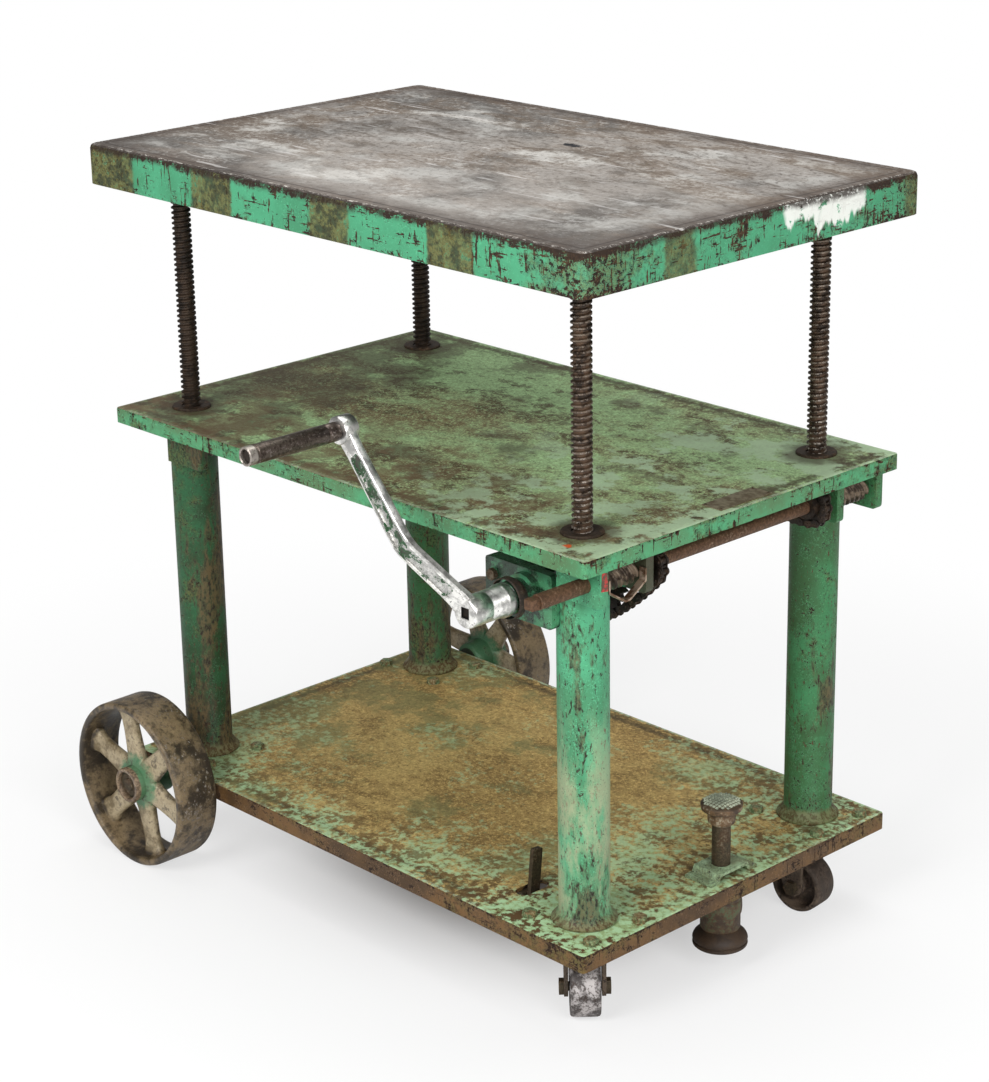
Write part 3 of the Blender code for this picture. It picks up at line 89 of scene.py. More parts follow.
# Marks on the cart, measured from the table's middle
TAPED_CORNER = (-0.455, -0.356)
TAPED_FRONT = ((-0.233, -0.154), (-0.004, 0.066), (0.206, 0.283))
TAPED_SIDE = (-0.163, -0.113)
TAPED_SIDE_END = (0.262, 0.30)
SPLASH = (0.098, 0.186)
SPLASH_TAIL = (0.040, 0.104)
BLOT = (0.026, 0.121)
SPECK = (0.391, -0.255)


class CartColours(bpy.types.PropertyGroup):
    """Colours of the cart's finishes."""

    green: FloatVectorProperty(
        name="Green paint", description="Sound paint on the legs and skirts", subtype="COLOR",
        default=(0.068, 0.345, 0.180), min=0, max=1)
    olive: FloatVectorProperty(
        name="Grime", description="Oily dirt over the paint", subtype="COLOR",
        default=(0.100, 0.098, 0.028), min=0, max=1)
    rust: FloatVectorProperty(
        name="Rust", description="Rusted bare steel", subtype="COLOR",
        default=(0.072, 0.038, 0.018), min=0, max=1)
    dark: FloatVectorProperty(
        name="Old grease", description="Black-brown grease and scale", subtype="COLOR",
        default=(0.020, 0.012, 0.008), min=0, max=1)
    steel: FloatVectorProperty(
        name="Bare steel", description="Rubbed sheet of the table's top", subtype="COLOR",
        default=(0.345, 0.315, 0.285), min=0, max=1)
    nickel: FloatVectorProperty(
        name="Crank metal", description="Bright metal of the crank arm", subtype="COLOR",
        default=(0.72, 0.71, 0.68), min=0, max=1)


class CartSizes(bpy.types.PropertyGroup):
    """Sizes of the pieces that the finishes add."""

    thread_pitch: FloatProperty(
        name="Thread pitch", description="Rise of the lifting screws in a turn", default=0.007,
        min=0.004, max=0.012, unit="LENGTH", precision=4)
    thread_depth: FloatProperty(
        name="Thread depth", description="Crest to root of the lifting screws", default=0.0029,
        min=0.001, max=0.004, unit="LENGTH", precision=4)
    chain_pitch: FloatProperty(
        name="Chain pitch", description="Pin to pin of both chains", default=0.0127,
        min=0.009, max=0.016, unit="LENGTH", precision=4)
    bolt_width: FloatProperty(
        name="Bolt head", description="Width across the flats of the deck bolts", default=0.0165,
        min=0.01, max=0.02, unit="LENGTH", precision=4)
    round_sides: IntProperty(
        name="Round sides", description="Sides of the large round pieces", default=72, min=24, max=160)
    camera_lens: FloatProperty(
        name="Lens", description="Focal length of the camera", default=90.21, min=35, max=200, unit="CAMERA")


def colours():
    """The colours in use."""
    return bpy.context.scene.cart_colours


def sizes():
    """The sizes in use."""
    return bpy.context.scene.cart_sizes


# Shader fields


class Field:
    """A number that varies over a surface, as a socket of a material; expressions on it add Math nodes."""

    def __init__(self, finish, socket):
        self.finish = finish
        self.socket = socket

    def math(self, operation, other=None, swap=False):
        """One Math node on this field and another field or number."""
        values = [self, other] if not swap else [other, self]
        inputs = {index: value for index, value in enumerate(values) if value is not None}
        return self.finish.node("ShaderNodeMath", {"operation": operation}, inputs)

    def __add__(self, other):
        return self.math("ADD", other)

    __radd__ = __add__

    def __sub__(self, other):
        return self.math("SUBTRACT", other)

    def __rsub__(self, other):
        return self.math("SUBTRACT", other, swap=True)

    def __mul__(self, other):
        return self.math("MULTIPLY", other)

    __rmul__ = __mul__

    def step(self, low, high):
        """0 under low, 1 over high and smooth between; low above high falls instead of rising."""
        if low > high:
            return 1 - self.step(high, low)
        inputs = {"Value": self, "From Min": low, "From Max": high}
        return self.finish.node("ShaderNodeMapRange", {"interpolation_type": "SMOOTHSTEP"}, inputs)

    def between(self, low, high, soft):
        """1 inside a range, falling to 0 over a soft edge."""
        return self.step(low - soft, low + soft) * self.step(high + soft, high - soft)

    def maximum(self, other):
        return self.math("MAXIMUM", other)

    def minimum(self, other):
        return self.math("MINIMUM", other)

    def size(self):
        return self.math("ABSOLUTE")


class Finish:
    """A node material made for one finish of the cart, with its place measured from the table's middle."""

    def __init__(self, name, owner=None):
        self.material = owner or bpy.data.materials.new(name)
        self.material.use_nodes = True
        self.tree = self.material.node_tree
        if owner:
            self.tree.nodes.clear()
            return
        self.shader = self.tree.nodes["Principled BSDF"]
        place = self.node("ShaderNodeTexCoord", {}, {}, "Object")
        offset = (-CENTRE.x, -CENTRE.y, 0)
        self.place = self.vector("ADD", place, offset)
        split = self.node("ShaderNodeSeparateXYZ", {}, {"Vector": self.place}, None)
        self.x, self.y, self.z = (Field(self, split.outputs[axis]) for axis in "XYZ")

    def node(self, kind, settings, inputs, output=0):
        """Adds a node: its settings are made first, then its sockets get their values or links."""
        made = self.tree.nodes.new(kind)
        for name, value in settings.items():
            setattr(made, name, value)
        for name, value in inputs.items():
            socket = made.inputs[name]
            if isinstance(value, Field):
                self.tree.links.new(value.socket, socket)
            elif socket.type == "RGBA":
                socket.default_value = (*value, 1)
            else:
                socket.default_value = value
        return made if output is None else Field(self, made.outputs[output])

    def vector(self, operation, one, two, output=0):
        """A Vector Math node."""
        return self.node("ShaderNodeVectorMath", {"operation": operation}, {0: one, 1: two}, output)

    def normal(self, axis):
        """One part of the surface's own normal."""
        normal = self.node("ShaderNodeTexCoord", {}, {}, "Normal")
        return self.node("ShaderNodeSeparateXYZ", {}, {"Vector": normal}, axis)

    def away(self, x, y, z):
        """Distance from a place given from the table's middle."""
        return self.vector("DISTANCE", self.place, (x, y, z), "Value")

    def noise(self, scale, detail=5, rough=0.6, stretch=(1, 1, 1), shift=0.0, distort=0.0):
        """Fractal noise over the place, in features per metre, stretched along the axes if asked."""
        place = self.place
        if stretch != (1, 1, 1):
            place = self.vector("MULTIPLY", place, stretch)
        if shift:
            place = self.vector("ADD", place, (shift, shift * 1.7, shift * 0.6))
        inputs = {"Vector": place, "Scale": scale, "Detail": detail, "Roughness": rough,
                  "Distortion": distort}
        return self.node("ShaderNodeTexNoise", {}, inputs, "Fac")

    def mix(self, factor, one, two):
        """Mixes two colours."""
        return self.node("ShaderNodeMix", {"data_type": "RGBA"}, {0: factor, 6: one, 7: two}, 2)

    def set(self, colour=None, rough=None, metal=None, height=None, strength=0.4, distance=0.001, shine=0.5):
        """Feeds the shader; a height drives a Bump node and shine is how much bare light it throws back."""
        self.shader.inputs["Specular IOR Level"].default_value = shine
        for name, value in (("Base Color", colour), ("Roughness", rough), ("Metallic", metal)):
            if isinstance(value, Field):
                self.tree.links.new(value.socket, self.shader.inputs[name])
            elif value is not None:
                self.shader.inputs[name].default_value = (*value, 1) if name == "Base Color" else value
        if height is not None:
            inputs = {"Height": height, "Strength": strength, "Distance": distance}
            bump = self.node("ShaderNodeBump", {}, inputs)
            self.tree.links.new(bump.socket, self.shader.inputs["Normal"])
        return self.material


def tint(colour, share):
    """A colour made darker or lighter."""
    return tuple(min(1.0, part * share) for part in colour)


def painted(f, clean, dull, chips=0.0, grime=0.0, seed=0.0, scale=1.0,
            extra_grime=None, extra_chip=None, cracks=None):
    """Chipped green paint: returns its colour, roughness and height, and the mask of its chips.

    chips and grime raise or lower how much of the paint is gone or dirty, the extra masks add to them,
    and cracks is where the paint has broken into short level and upright marks.
    """
    c = colours()
    large = f.noise(6 * scale, 5, 0.62, shift=seed)
    medium = f.noise(38 * scale, 7, 0.7, shift=seed + 3)
    fine = f.noise(190 * scale, 5, 0.7, shift=seed + 7)
    grit = f.noise(420, 3, 0.65, shift=seed + 9)
    tone = f.mix(large.step(0.38, 0.60), dull, clean)
    tone = f.mix(medium.step(0.50, 0.62) * 0.4, tone, tint(dull, 0.8))
    rubbed = tuple(part * 1.6 + 0.02 for part in clean)
    tone = f.mix((medium * 0.4 + grit * 0.6).step(0.53, 0.60) * 0.4, tone, rubbed)
    mess = large * 0.5 + medium * 0.3 + fine * 0.2
    if extra_grime is not None:
        mess = mess + extra_grime
    dirt = mess.step(0.50 - grime, 0.60 - grime)
    tone = f.mix(dirt * 0.78, tone, f.mix(fine.step(0.44, 0.58), c.olive, c.dark))
    wear = medium * 0.36 + fine * 0.38 + grit * 0.26
    if extra_chip is not None:
        wear = wear + extra_chip
    chip = wear.step(0.560 - chips, 0.575 - chips)
    if cracks is not None:
        level = f.noise(260, 3, 0.6, stretch=(0.16, 0.16, 1), shift=seed + 12)
        upright = f.noise(230, 3, 0.6, stretch=(1, 1, 0.14), shift=seed + 15)
        chip = chip.maximum((level.maximum(upright) + cracks + (medium - 0.5) * 0.7).step(0.60, 0.635))
    halo = wear.step(0.535 - chips, 0.562 - chips) * (1 - chip)
    tone = f.mix(halo * 0.4, tone, tuple(part * 1.7 + 0.05 for part in clean))
    tone = f.mix(chip, tone, f.mix(fine.step(0.42, 0.58), c.rust, c.dark))
    rough = 0.40 + dirt * 0.2 + chip * 0.22 + fine * 0.1
    height = (1 - chip) * 0.7 + fine * 0.3 + medium * 0.25
    return tone, rough, height, chip


def edge_of(f, half):
    """How far inside a pan's nearest edge a place lies."""
    return (half[0] - f.x.size()).minimum(half[1] - f.y.size())


def sheet_top(f, warp, fine, grain):
    """The table's rubbed sheet: its colour, roughness, metal share and relief."""
    c = colours()
    edge = edge_of(f, TABLE_HALF)
    large = f.noise(3.4, 7, 0.66, shift=2)
    streak = f.noise(6, 8, 0.7, stretch=(0.8, 1.5, 1), shift=5, distort=0.9)
    blotch = f.noise(15, 8, 0.7, stretch=(0.7, 1.5, 1), shift=29, distort=0.8)
    near = (f.x * 0.3 - f.y * 1.5).step(-0.08, 0.32)
    top = f.mix(large.step(0.40, 0.58), tint(c.steel, 0.50), tint(c.steel, 1.16))
    brown = (streak + (0.5 - near) * 0.06).step(0.47, 0.60)
    top = f.mix(brown * (0.78 - near * 0.42), top, (0.132, 0.096, 0.066))
    cloud = f.noise(9, 6, 0.62, shift=11, stretch=(1, 1.4, 1)) + near * 0.06
    top = f.mix(cloud.step(0.52, 0.64) * edge.step(0.02, 0.07) * 0.66, top, (0.60, 0.59, 0.555))
    top = f.mix(blotch.step(0.51, 0.60) * (0.66 - near * 0.48), top, (0.100, 0.072, 0.048))
    top = f.mix((blotch * 0.4 + fine * 0.6).step(0.47, 0.40) * 0.45, top, (0.62, 0.61, 0.58))
    top = f.mix(fine.step(0.52, 0.62) * (0.62 - near * 0.26), top, (0.060, 0.040, 0.029))
    top = f.mix(grain.step(0.56, 0.70) * 0.4, top, (0.66, 0.64, 0.61))
    top = f.mix(f.x.step(0.18, 0.40) * streak.step(0.42, 0.56) * 0.30, top, (0.160, 0.120, 0.085))
    border = (edge + warp * 0.045).step(0.060, 0.004)
    top = f.mix(border * 0.62, top, (0.066, 0.042, 0.030))
    line = (edge + warp * 0.004).between(0.0165, 0.0195, 0.0015)
    top = f.mix(line * 0.6, top, c.dark)
    lip = edge.step(0.009, 0.003) * (fine * 0.6 + grain * 0.4).step(0.36, 0.50)
    top = f.mix(lip * 0.85, top, c.dark)
    glint = edge.between(0.004, 0.008, 0.0015) * grain.step(0.54, 0.60)
    top = f.mix(glint * 0.8, top, (0.70, 0.66, 0.60))
    blot = (f.away(*BLOT, TABLE_TOP) + warp * 0.045 + (fine - 0.5) * 0.03).step(0.016, 0.010)
    top = f.mix(blot, top, (0.008, 0.009, 0.012))
    scratch = f.noise(60, 3, 0.5, stretch=(0.14, 1.4, 1), shift=21).step(0.655, 0.68)
    top = f.mix(scratch * 0.5, top, (0.68, 0.66, 0.64))
    rough = 0.30 + large * 0.2 + brown * 0.2 + fine * 0.14
    return top, rough, 0.60 - brown * 0.5, fine * 0.4 + blotch * 0.4 + grain * 0.15


def taped_bands(f, warp, side):
    """Where old tape has left its glue on the table's skirt."""
    across, along = f.x + warp * 0.02, f.y + warp * 0.02
    bands = f.x.between(*TAPED_CORNER, 0.004)
    for low, high in TAPED_FRONT:
        bands = bands.maximum(across.between(low, high, 0.004))
    side_bands = along.between(*TAPED_SIDE, 0.006).maximum(f.y.between(*TAPED_SIDE_END, 0.006))
    return (bands * f.normal("Y").size().step(0.5, 0.8)).maximum(side_bands * side * 0.6)


def table_finish():
    """The table: rubbed bare steel on top, and green paint with old taped bands round the skirt."""
    f = Finish("table_worn_steel")
    c = colours()
    up = f.normal("Z").step(0.5, 0.9)
    side = f.normal("X").size().step(0.5, 0.8)
    warp = f.noise(22, 4, 0.6) - 0.5
    fine = f.noise(120, 7, 0.72)
    grain = f.noise(380, 3, 0.7, stretch=(0.35, 1, 1))
    top, top_rough, top_metal, top_relief = sheet_top(f, warp, fine, grain)
    taped = taped_bands(f, warp, side)
    drop = TABLE_TOP - f.z
    corner = ((TABLE_HALF[0] - f.x.size()) + (TABLE_HALF[1] - f.y.size())).step(0.13, 0.005)
    rim = (drop + warp * 0.016).step(0.013, 0.004)
    low_rim = (drop + warp * 0.012).step(0.042, 0.053)
    grime = taped * 0.10 + corner * 0.08 + low_rim * 0.03 + side * 0.045
    chips = rim * 0.075 + low_rim * 0.045 + corner * 0.055
    cracks = rim * 0.06 + low_rim * 0.03 - taped * 0.05 - f.x.step(0.30, 0.10) * 0.028
    tone, rough, height, chip = painted(
        f, c.green, (0.052, 0.25, 0.125), 0.0, -0.035, 4, 1.0, grime, chips, cracks)
    residue = f.noise(75, 7, 0.75, shift=9)
    tape_tone = f.mix(residue.step(0.42, 0.58), (0.165, 0.150, 0.045), (0.034, 0.030, 0.012))
    tone = f.mix(taped * residue.step(0.36, 0.46) * 0.84, tone, tape_tone)
    run = f.noise(30, 5, 0.6, stretch=(1, 1, 0.12), shift=13)
    main = (f.y + warp * 0.03).between(*SPLASH, 0.008)
    small = (f.y + warp * 0.03).between(*SPLASH_TAIL, 0.006)
    reach = main * 0.040 + small * 0.026 + (run - 0.5) * 0.11
    splash = (reach - drop).step(-0.004, 0.003) * main.maximum(small)
    thin = f.noise(70, 6, 0.7, shift=17).step(0.36, 0.43)
    white = splash * thin * side * f.x.step(0.40, 0.42)
    tone = f.mix(white * 0.95, tone, (0.78, 0.79, 0.74))
    colour = f.mix(up, tone, top)
    scuffed = rim * (1 - up) * (fine * 0.6 + grain * 0.4).step(0.38, 0.50)
    colour = f.mix(scuffed * 0.9, colour, tint(c.dark, 1.4))
    rough = rough * (1 - up) + top_rough * up
    metal = up * top_metal + chip * (1 - up) * 0.25
    return f.set(colour, rough, metal, height * (1 - up) + top_relief * up, 0.4, 0.0013, 0.38)


def deck_finish(name, height, half, ground, stain, share, deep, seed, line_at, skirt, dull):
    """A deck: trodden sheet, dark along its edges and with a broken line of painted highlight at its chipped
    lip, over a painted skirt.

    share is how much of the ground the stain leaves, deep how strong its darkest patches are, line_at how far
    in its worn line runs, skirt its paint and dull how matt its sheet is.
    """
    f = Finish(name)
    c = colours()
    up = f.normal("Z").step(0.5, 0.9)
    edge = edge_of(f, half)
    warp = f.noise(18, 4, 0.6, shift=seed) - 0.5
    cloud = f.noise(3.8, 5, 0.56, stretch=(0.8, 1.3, 1), shift=seed + 19)
    drift = f.noise(13, 7, 0.66, stretch=(0.8, 1.3, 1), shift=seed + 21, distort=0.6)
    mottle = f.noise(44, 7, 0.72, shift=seed + 29, distort=0.4)
    speckle = f.noise(150, 6, 0.75, shift=seed + 23)
    grain = f.noise(360, 3, 0.7, shift=seed + 25)
    top = f.mix((cloud * 0.5 + drift * 0.3 + mottle * 0.2).step(0.43 + share, 0.57 + share), ground, stain)
    top = f.mix((drift * 0.55 + mottle * 0.45).step(0.510, 0.575) * deep, top, tint(stain, 0.36))
    top = f.mix((speckle * 0.5 + grain * 0.5).step(0.485, 0.43) * 0.6, top, tint(ground, 1.55))
    top = f.mix((speckle * 0.4 + grain * 0.6).step(0.535, 0.60) * 0.55, top, c.dark)
    line = (edge + warp * 0.008).between(line_at - 0.004, line_at + 0.006, 0.004)
    top = f.mix(line * 0.65, top, (0.050, 0.032, 0.018))
    border = (edge + warp * 0.05).step(0.055, 0.012)
    top = f.mix(border * (mottle * 0.5 + speckle * 0.5).step(0.44, 0.52) * 0.6, top, (0.052, 0.042, 0.020))
    # Painted highlight: a pale line along the lip, broken where the paint is chipped
    lip = (edge + warp * 0.004).between(0.0008, 0.0055, 0.0015)
    top = f.mix(lip * (speckle * 0.5 + grain * 0.5).step(0.45, 0.53) * 0.8, top, (0.46, 0.60, 0.42))
    drop = height - f.z
    rim = (drop + warp * 0.004).step(0.006, 0.001)
    tone, rough, relief, chip = painted(f, *skirt, seed, 1.2, rim * 0.04, rim * 0.05, rim * 0.03 - 0.03)
    tone = f.mix(up, tone, top)
    relief = relief * (1 - up) + (mottle * 0.5 + speckle * 0.5 + grain * 0.2) * up
    rough = rough * (1 - up) + (0.42 + dull * 0.2 + speckle * 0.3) * up
    return f, tone, rough, relief, chip * (1 - up), up


def mid_finish():
    """The middle deck, grey-green and brown."""
    skirt = ((0.075, 0.34, 0.16), (0.085, 0.17, 0.075), -0.008, 0.015)
    f, tone, rough, relief, chip, up = deck_finish(
        "middle_deck_paint", MID_TOP, MID_HALF, (0.345, 0.510, 0.250), (0.215, 0.170, 0.082),
        0.022, 0.80, 31, 0.016, skirt, 0.0)
    speck = (f.away(*SPECK, MID_TOP) + (f.noise(160, 4, 0.6) - 0.5) * 0.012).step(0.0062, 0.0045)
    tone = f.mix(speck, tone, (0.62, 0.10, 0.02))
    left = (f.noise(9, 7, 0.68, shift=63) + f.x.step(-0.08, -0.44) * 0.13).step(0.52, 0.64) * up
    tone = f.mix(left * 0.68, tone, (0.085, 0.068, 0.040))
    brown = (f.noise(20, 7, 0.7, shift=69) + f.y.step(-0.06, -0.24) * 0.06).step(0.52, 0.58)
    tone = f.mix(brown * f.y.step(-0.04, -0.18) * up * 0.6, tone, (0.165, 0.105, 0.055))
    fresh = (f.noise(16, 7, 0.7, shift=67) + f.x.step(0.05, 0.40) * 0.05).step(0.53, 0.60)
    tone = f.mix(fresh * f.x.step(-0.05, 0.25) * up * 0.82, tone, (0.43, 0.58, 0.37))
    for number, place in LEGS.items():
        near = f.away(place.x - CENTRE.x, place.y - CENTRE.y, MID_TOP)
        grease = (near + (f.noise(40, 5, 0.6, shift=number) - 0.5) * 0.06).step(0.060, 0.030) * up
        tone = f.mix(grease * 0.7, tone, (0.060, 0.040, 0.022))
    return f.set(tone, rough, chip * 0.2, relief, 0.5, 0.0013, 0.25)


def low_finish():
    """The lower deck, the rustiest, ochre with a little green left on it."""
    skirt = ((0.150, 0.078, 0.026), (0.060, 0.032, 0.013), 0.012, 0.0)
    f, tone, rough, relief, chip, up = deck_finish(
        "lower_deck_rust", LOW_TOP, LOW_HALF, (0.460, 0.325, 0.120), (0.320, 0.205, 0.070),
        0.0, 0.34, 53, 0.020, skirt, 0.35)
    near = f.x.step(0.12, 0.36) * 0.070 + f.y.step(-0.10, -0.26) * 0.055
    left = (f.noise(9, 7, 0.68, shift=63) + f.x.step(-0.05, -0.42) * 0.10).step(0.52, 0.62) * up
    tone = f.mix(left * 0.6, tone, (0.150, 0.160, 0.066))
    flake = f.noise(90, 7, 0.74, shift=75)
    patch = (f.noise(7, 6, 0.66, shift=71) * 0.55 + flake * 0.45 + near).step(0.53, 0.60) * up
    green = f.mix(flake.step(0.44, 0.56), (0.290, 0.390, 0.180), (0.400, 0.590, 0.340))
    tone = f.mix(patch * (0.50 + near * 5), tone, green)
    worn = (f.noise(24, 7, 0.7, shift=79) * 0.5 + flake * 0.5).step(0.495, 0.455) * up * (0.15 + near * 9)
    tone = f.mix(worn, tone, (0.100, 0.056, 0.022))
    return f.set(tone, rough, chip * 0.15, relief, 0.55, 0.0015, 0.25)


# Sound paint, dull paint, chips, grime and how stained each leg is; legs 3 and 4, at the left under the
# table, are darker partly from dirt and partly as painted shade
LEG_PAINT_AND_SHADE = {
    1: ((0.072, 0.350, 0.180), (0.054, 0.220, 0.105), -0.008, -0.070, 0.0),
    2: ((0.044, 0.205, 0.080), (0.036, 0.100, 0.034), 0.004, -0.010, 0.8),
    3: ((0.018, 0.105, 0.040), (0.016, 0.034, 0.011), 0.006, 0.012, 1.0),
    4: ((0.030, 0.130, 0.045), (0.024, 0.055, 0.016), 0.000, 0.004, 0.9),
}


def leg_finish(number):
    """A leg's tube and bearing plates: green paint chipped in upright flecks, dirty towards its ends."""
    f = Finish(f"leg_{number}_paint")
    c = colours()
    clean, dull, chips, grime, stained = LEG_PAINT_AND_SHADE[number]
    low = f.z.step(0.24, 0.135)
    high = f.z.step(0.54, 0.60)
    drip = f.noise(17, 7, 0.7, stretch=(1, 1, 0.30), shift=3 + number)
    flecks = f.noise(240, 4, 0.62, stretch=(1, 1, 0.42), shift=8)
    more_grime = low * 0.05 + high * 0.03
    more_chips = low * 0.03 - 0.01 * (1 - stained)
    tone, rough, relief, chip = painted(
        f, clean, dull, chips, grime, 71 + number, 1.3, more_grime, more_chips)
    stain = drip * 0.8 + flecks * 0.2 + low * 0.05 + stained * 0.075 - f.z.step(0.36, 0.46) * 0.03
    brown = f.mix(flecks.step(0.44, 0.56), (0.115, 0.068, 0.030), (0.046, 0.034, 0.017))
    tone = f.mix(stain.step(0.56, 0.63) * 0.78, tone, brown)
    half = f.z.step(0.52, 0.36) * 0.030 + (drip - 0.5) * 0.16 - stained * 0.012
    fleck = (flecks + half).step(0.628, 0.650)
    tone = f.mix(fleck * 0.92, tone, f.mix(drip.step(0.45, 0.55), c.rust, c.dark))
    if number == 1:
        light = drip.step(0.60, 0.44) * f.z.step(0.46, 0.28)
        tone = f.mix(light * 0.72, tone, (0.38, 0.36, 0.22))
        inner = f.y.step(LEGS[1].y - CENTRE.y + 0.028, LEGS[1].y - CENTRE.y + 0.031) * f.x.step(0.405, 0.412)
        tone = f.mix(inner * 0.9, tone, (0.050, 0.032, 0.020))
    specks = f.noise(520, 3, 0.6, stretch=(1, 1, 0.6), shift=33).step(0.63, 0.67) * (1 - fleck)
    tone = f.mix(specks * 0.8, tone, c.dark)
    foot = (f.z + (drip - 0.5) * 0.03).step(0.150, 0.140)
    rusty = f.mix(flecks.step(0.46, 0.54), (0.190, 0.170, 0.080), (0.105, 0.058, 0.022))
    tone = f.mix(foot * 0.7, tone, rusty)
    return f.set(tone, rough, (chip + fleck) * 0.1, relief - fleck * 0.5, 0.45, 0.0011, 0.28)


def greasy_and_shaded_paint():
    """The crank's bracket: green paint under dark grease, with painted shade blackening its upward faces and
    its upper band under the deck.
    """
    f = Finish("greasy_shaded_green_paint")
    tone, rough, relief, chip = painted(f, (0.058, 0.27, 0.13), (0.044, 0.16, 0.07), 0.0, -0.01, 91, 2.2)
    grease = f.noise(36, 6, 0.6, shift=37).step(0.43, 0.53)
    up = f.normal("Z").step(0.4, 0.8)
    # The noise is real grease; the upward faces and the band above 0.586 m are blackened as painted shade
    # under the decks
    grease = grease.maximum(up * 0.9).maximum(f.z.step(0.570, 0.586) * 0.7)
    tone = f.mix(grease * 0.88, tone, (0.007, 0.010, 0.006))
    return f.set(tone, rough - grease * 0.18, chip * 0.2, relief, 0.4, 0.001)


def dark_steel(name, base, rub, rough=0.5, rust=0.5, scale=1.0):
    """Dark oily or rusted steel, rubbed brighter in places."""
    f = Finish(name)
    c = colours()
    medium = f.noise(45 * scale, 7, 0.68, shift=5)
    fine = f.noise(260 * scale, 5, 0.7, shift=8)
    tone = f.mix(fine.step(0.38, 0.62), tint(base, 0.5), base)
    tone = f.mix(medium.step(0.48, 0.60) * rust, tone, tint(c.rust, 1.2))
    bright = (medium * 0.5 + fine * 0.5).step(0.54, 0.62)
    tone = f.mix(bright * 0.7, tone, rub)
    roughness = rough + medium * 0.2 - bright * 0.15
    return f.set(tone, roughness, 0.5 + bright * 0.3, fine * 0.6 + medium * 0.5, 0.4, 0.0008)


def cast_finish(name, base, light, amount=0.5, seed=0.0):
    """Cast iron with a rough skin, rusted and rubbed."""
    f = Finish(name)
    c = colours()
    large = f.noise(16, 6, 0.66, shift=seed)
    medium = f.noise(70, 7, 0.7, shift=seed + 4)
    fine = f.noise(330, 4, 0.7, shift=seed + 9)
    tone = f.mix(medium.step(0.38, 0.62), tint(base, 0.45), base)
    tone = f.mix(large.step(0.48, 0.58) * amount, tone, light)
    tone = f.mix((medium * 0.6 + fine * 0.4).step(0.52, 0.56) * 0.8, tone, c.dark)
    return f.set(tone, 0.55 + medium * 0.25, 0.2, fine * 0.7 + medium * 0.8, 0.55, 0.0013)


def deck_bolt_finish():
    """The bolts by the legs' feet, painted and rusted with the deck."""
    f = Finish("deck_bolts")
    medium = f.noise(90, 6, 0.7, shift=4)
    fine = f.noise(320, 4, 0.7, shift=7)
    tone = f.mix(medium.step(0.44, 0.56), (0.20, 0.135, 0.055), (0.13, 0.19, 0.085))
    tone = f.mix(fine.step(0.52, 0.60) * 0.8, tone, (0.045, 0.028, 0.014))
    tone = f.mix(fine.step(0.44, 0.40) * 0.5, tone, (0.42, 0.40, 0.24))
    return f.set(tone, 0.5 + fine * 0.2, 0.15, fine, 0.4, 0.0007)


def nickel_finish():
    """The crank arm's bright worn nickel."""
    f = Finish("crank_nickel")
    c = colours()
    medium = f.noise(55, 7, 0.7, shift=3)
    fine = f.noise(300, 5, 0.7)
    tone = f.mix(medium.step(0.40, 0.56), tint(c.nickel, 0.62), tint(c.nickel, 1.25))
    pit = (medium * 0.5 + fine * 0.5).step(0.57, 0.61)
    tone = f.mix(pit * 0.85, tone, (0.06, 0.052, 0.042))
    rough = 0.22 + medium * 0.26
    return f.set(tone, rough, 1 - pit * 0.5, medium * 0.5 + fine * 0.35, 0.35, 0.0009)


def channel_finish():
    """The sunk face of the crank arm, with the last of its dark green paint."""
    f = Finish("crank_channel")
    c = colours()
    left = f.noise(34, 7, 0.72, shift=14)
    fine = f.noise(240, 5, 0.7)
    paint = (left * 0.7 + fine * 0.3).step(0.488, 0.505)
    tone = f.mix(fine.step(0.35, 0.65), tint(c.nickel, 0.50), tint(c.nickel, 1.0))
    tone = f.mix(paint, tone, f.mix(left.step(0.5, 0.6), (0.014, 0.080, 0.024), (0.05, 0.045, 0.036)))
    return f.set(tone, 0.35 + paint * 0.2, 1 - paint * 0.95, paint * 0.7 + fine * 0.3, 0.4, 0.0009)


def grip_finish():
    """The crank's grip: brown polished steel, worn by hands."""
    f = Finish("grip_steel")
    streak = f.noise(34, 6, 0.65, stretch=(1, 0.22, 1), shift=6)
    fine = f.noise(260, 4, 0.7)
    tone = f.mix(streak.step(0.42, 0.58), (0.038, 0.026, 0.021), (0.105, 0.080, 0.065))
    tone = f.mix(fine.step(0.53, 0.62) * 0.7, tone, (0.018, 0.012, 0.009))
    end = f.y.step(-0.5225, -0.5245)
    tone = f.mix(end * fine.step(0.36, 0.48) * 0.8, tone, (0.40, 0.36, 0.32))
    tone = f.mix(fine.step(0.42, 0.38) * 0.45, tone, (0.36, 0.31, 0.28))
    return f.set(tone, 0.24 + fine * 0.24, 0.7, fine, 0.3, 0.0007)


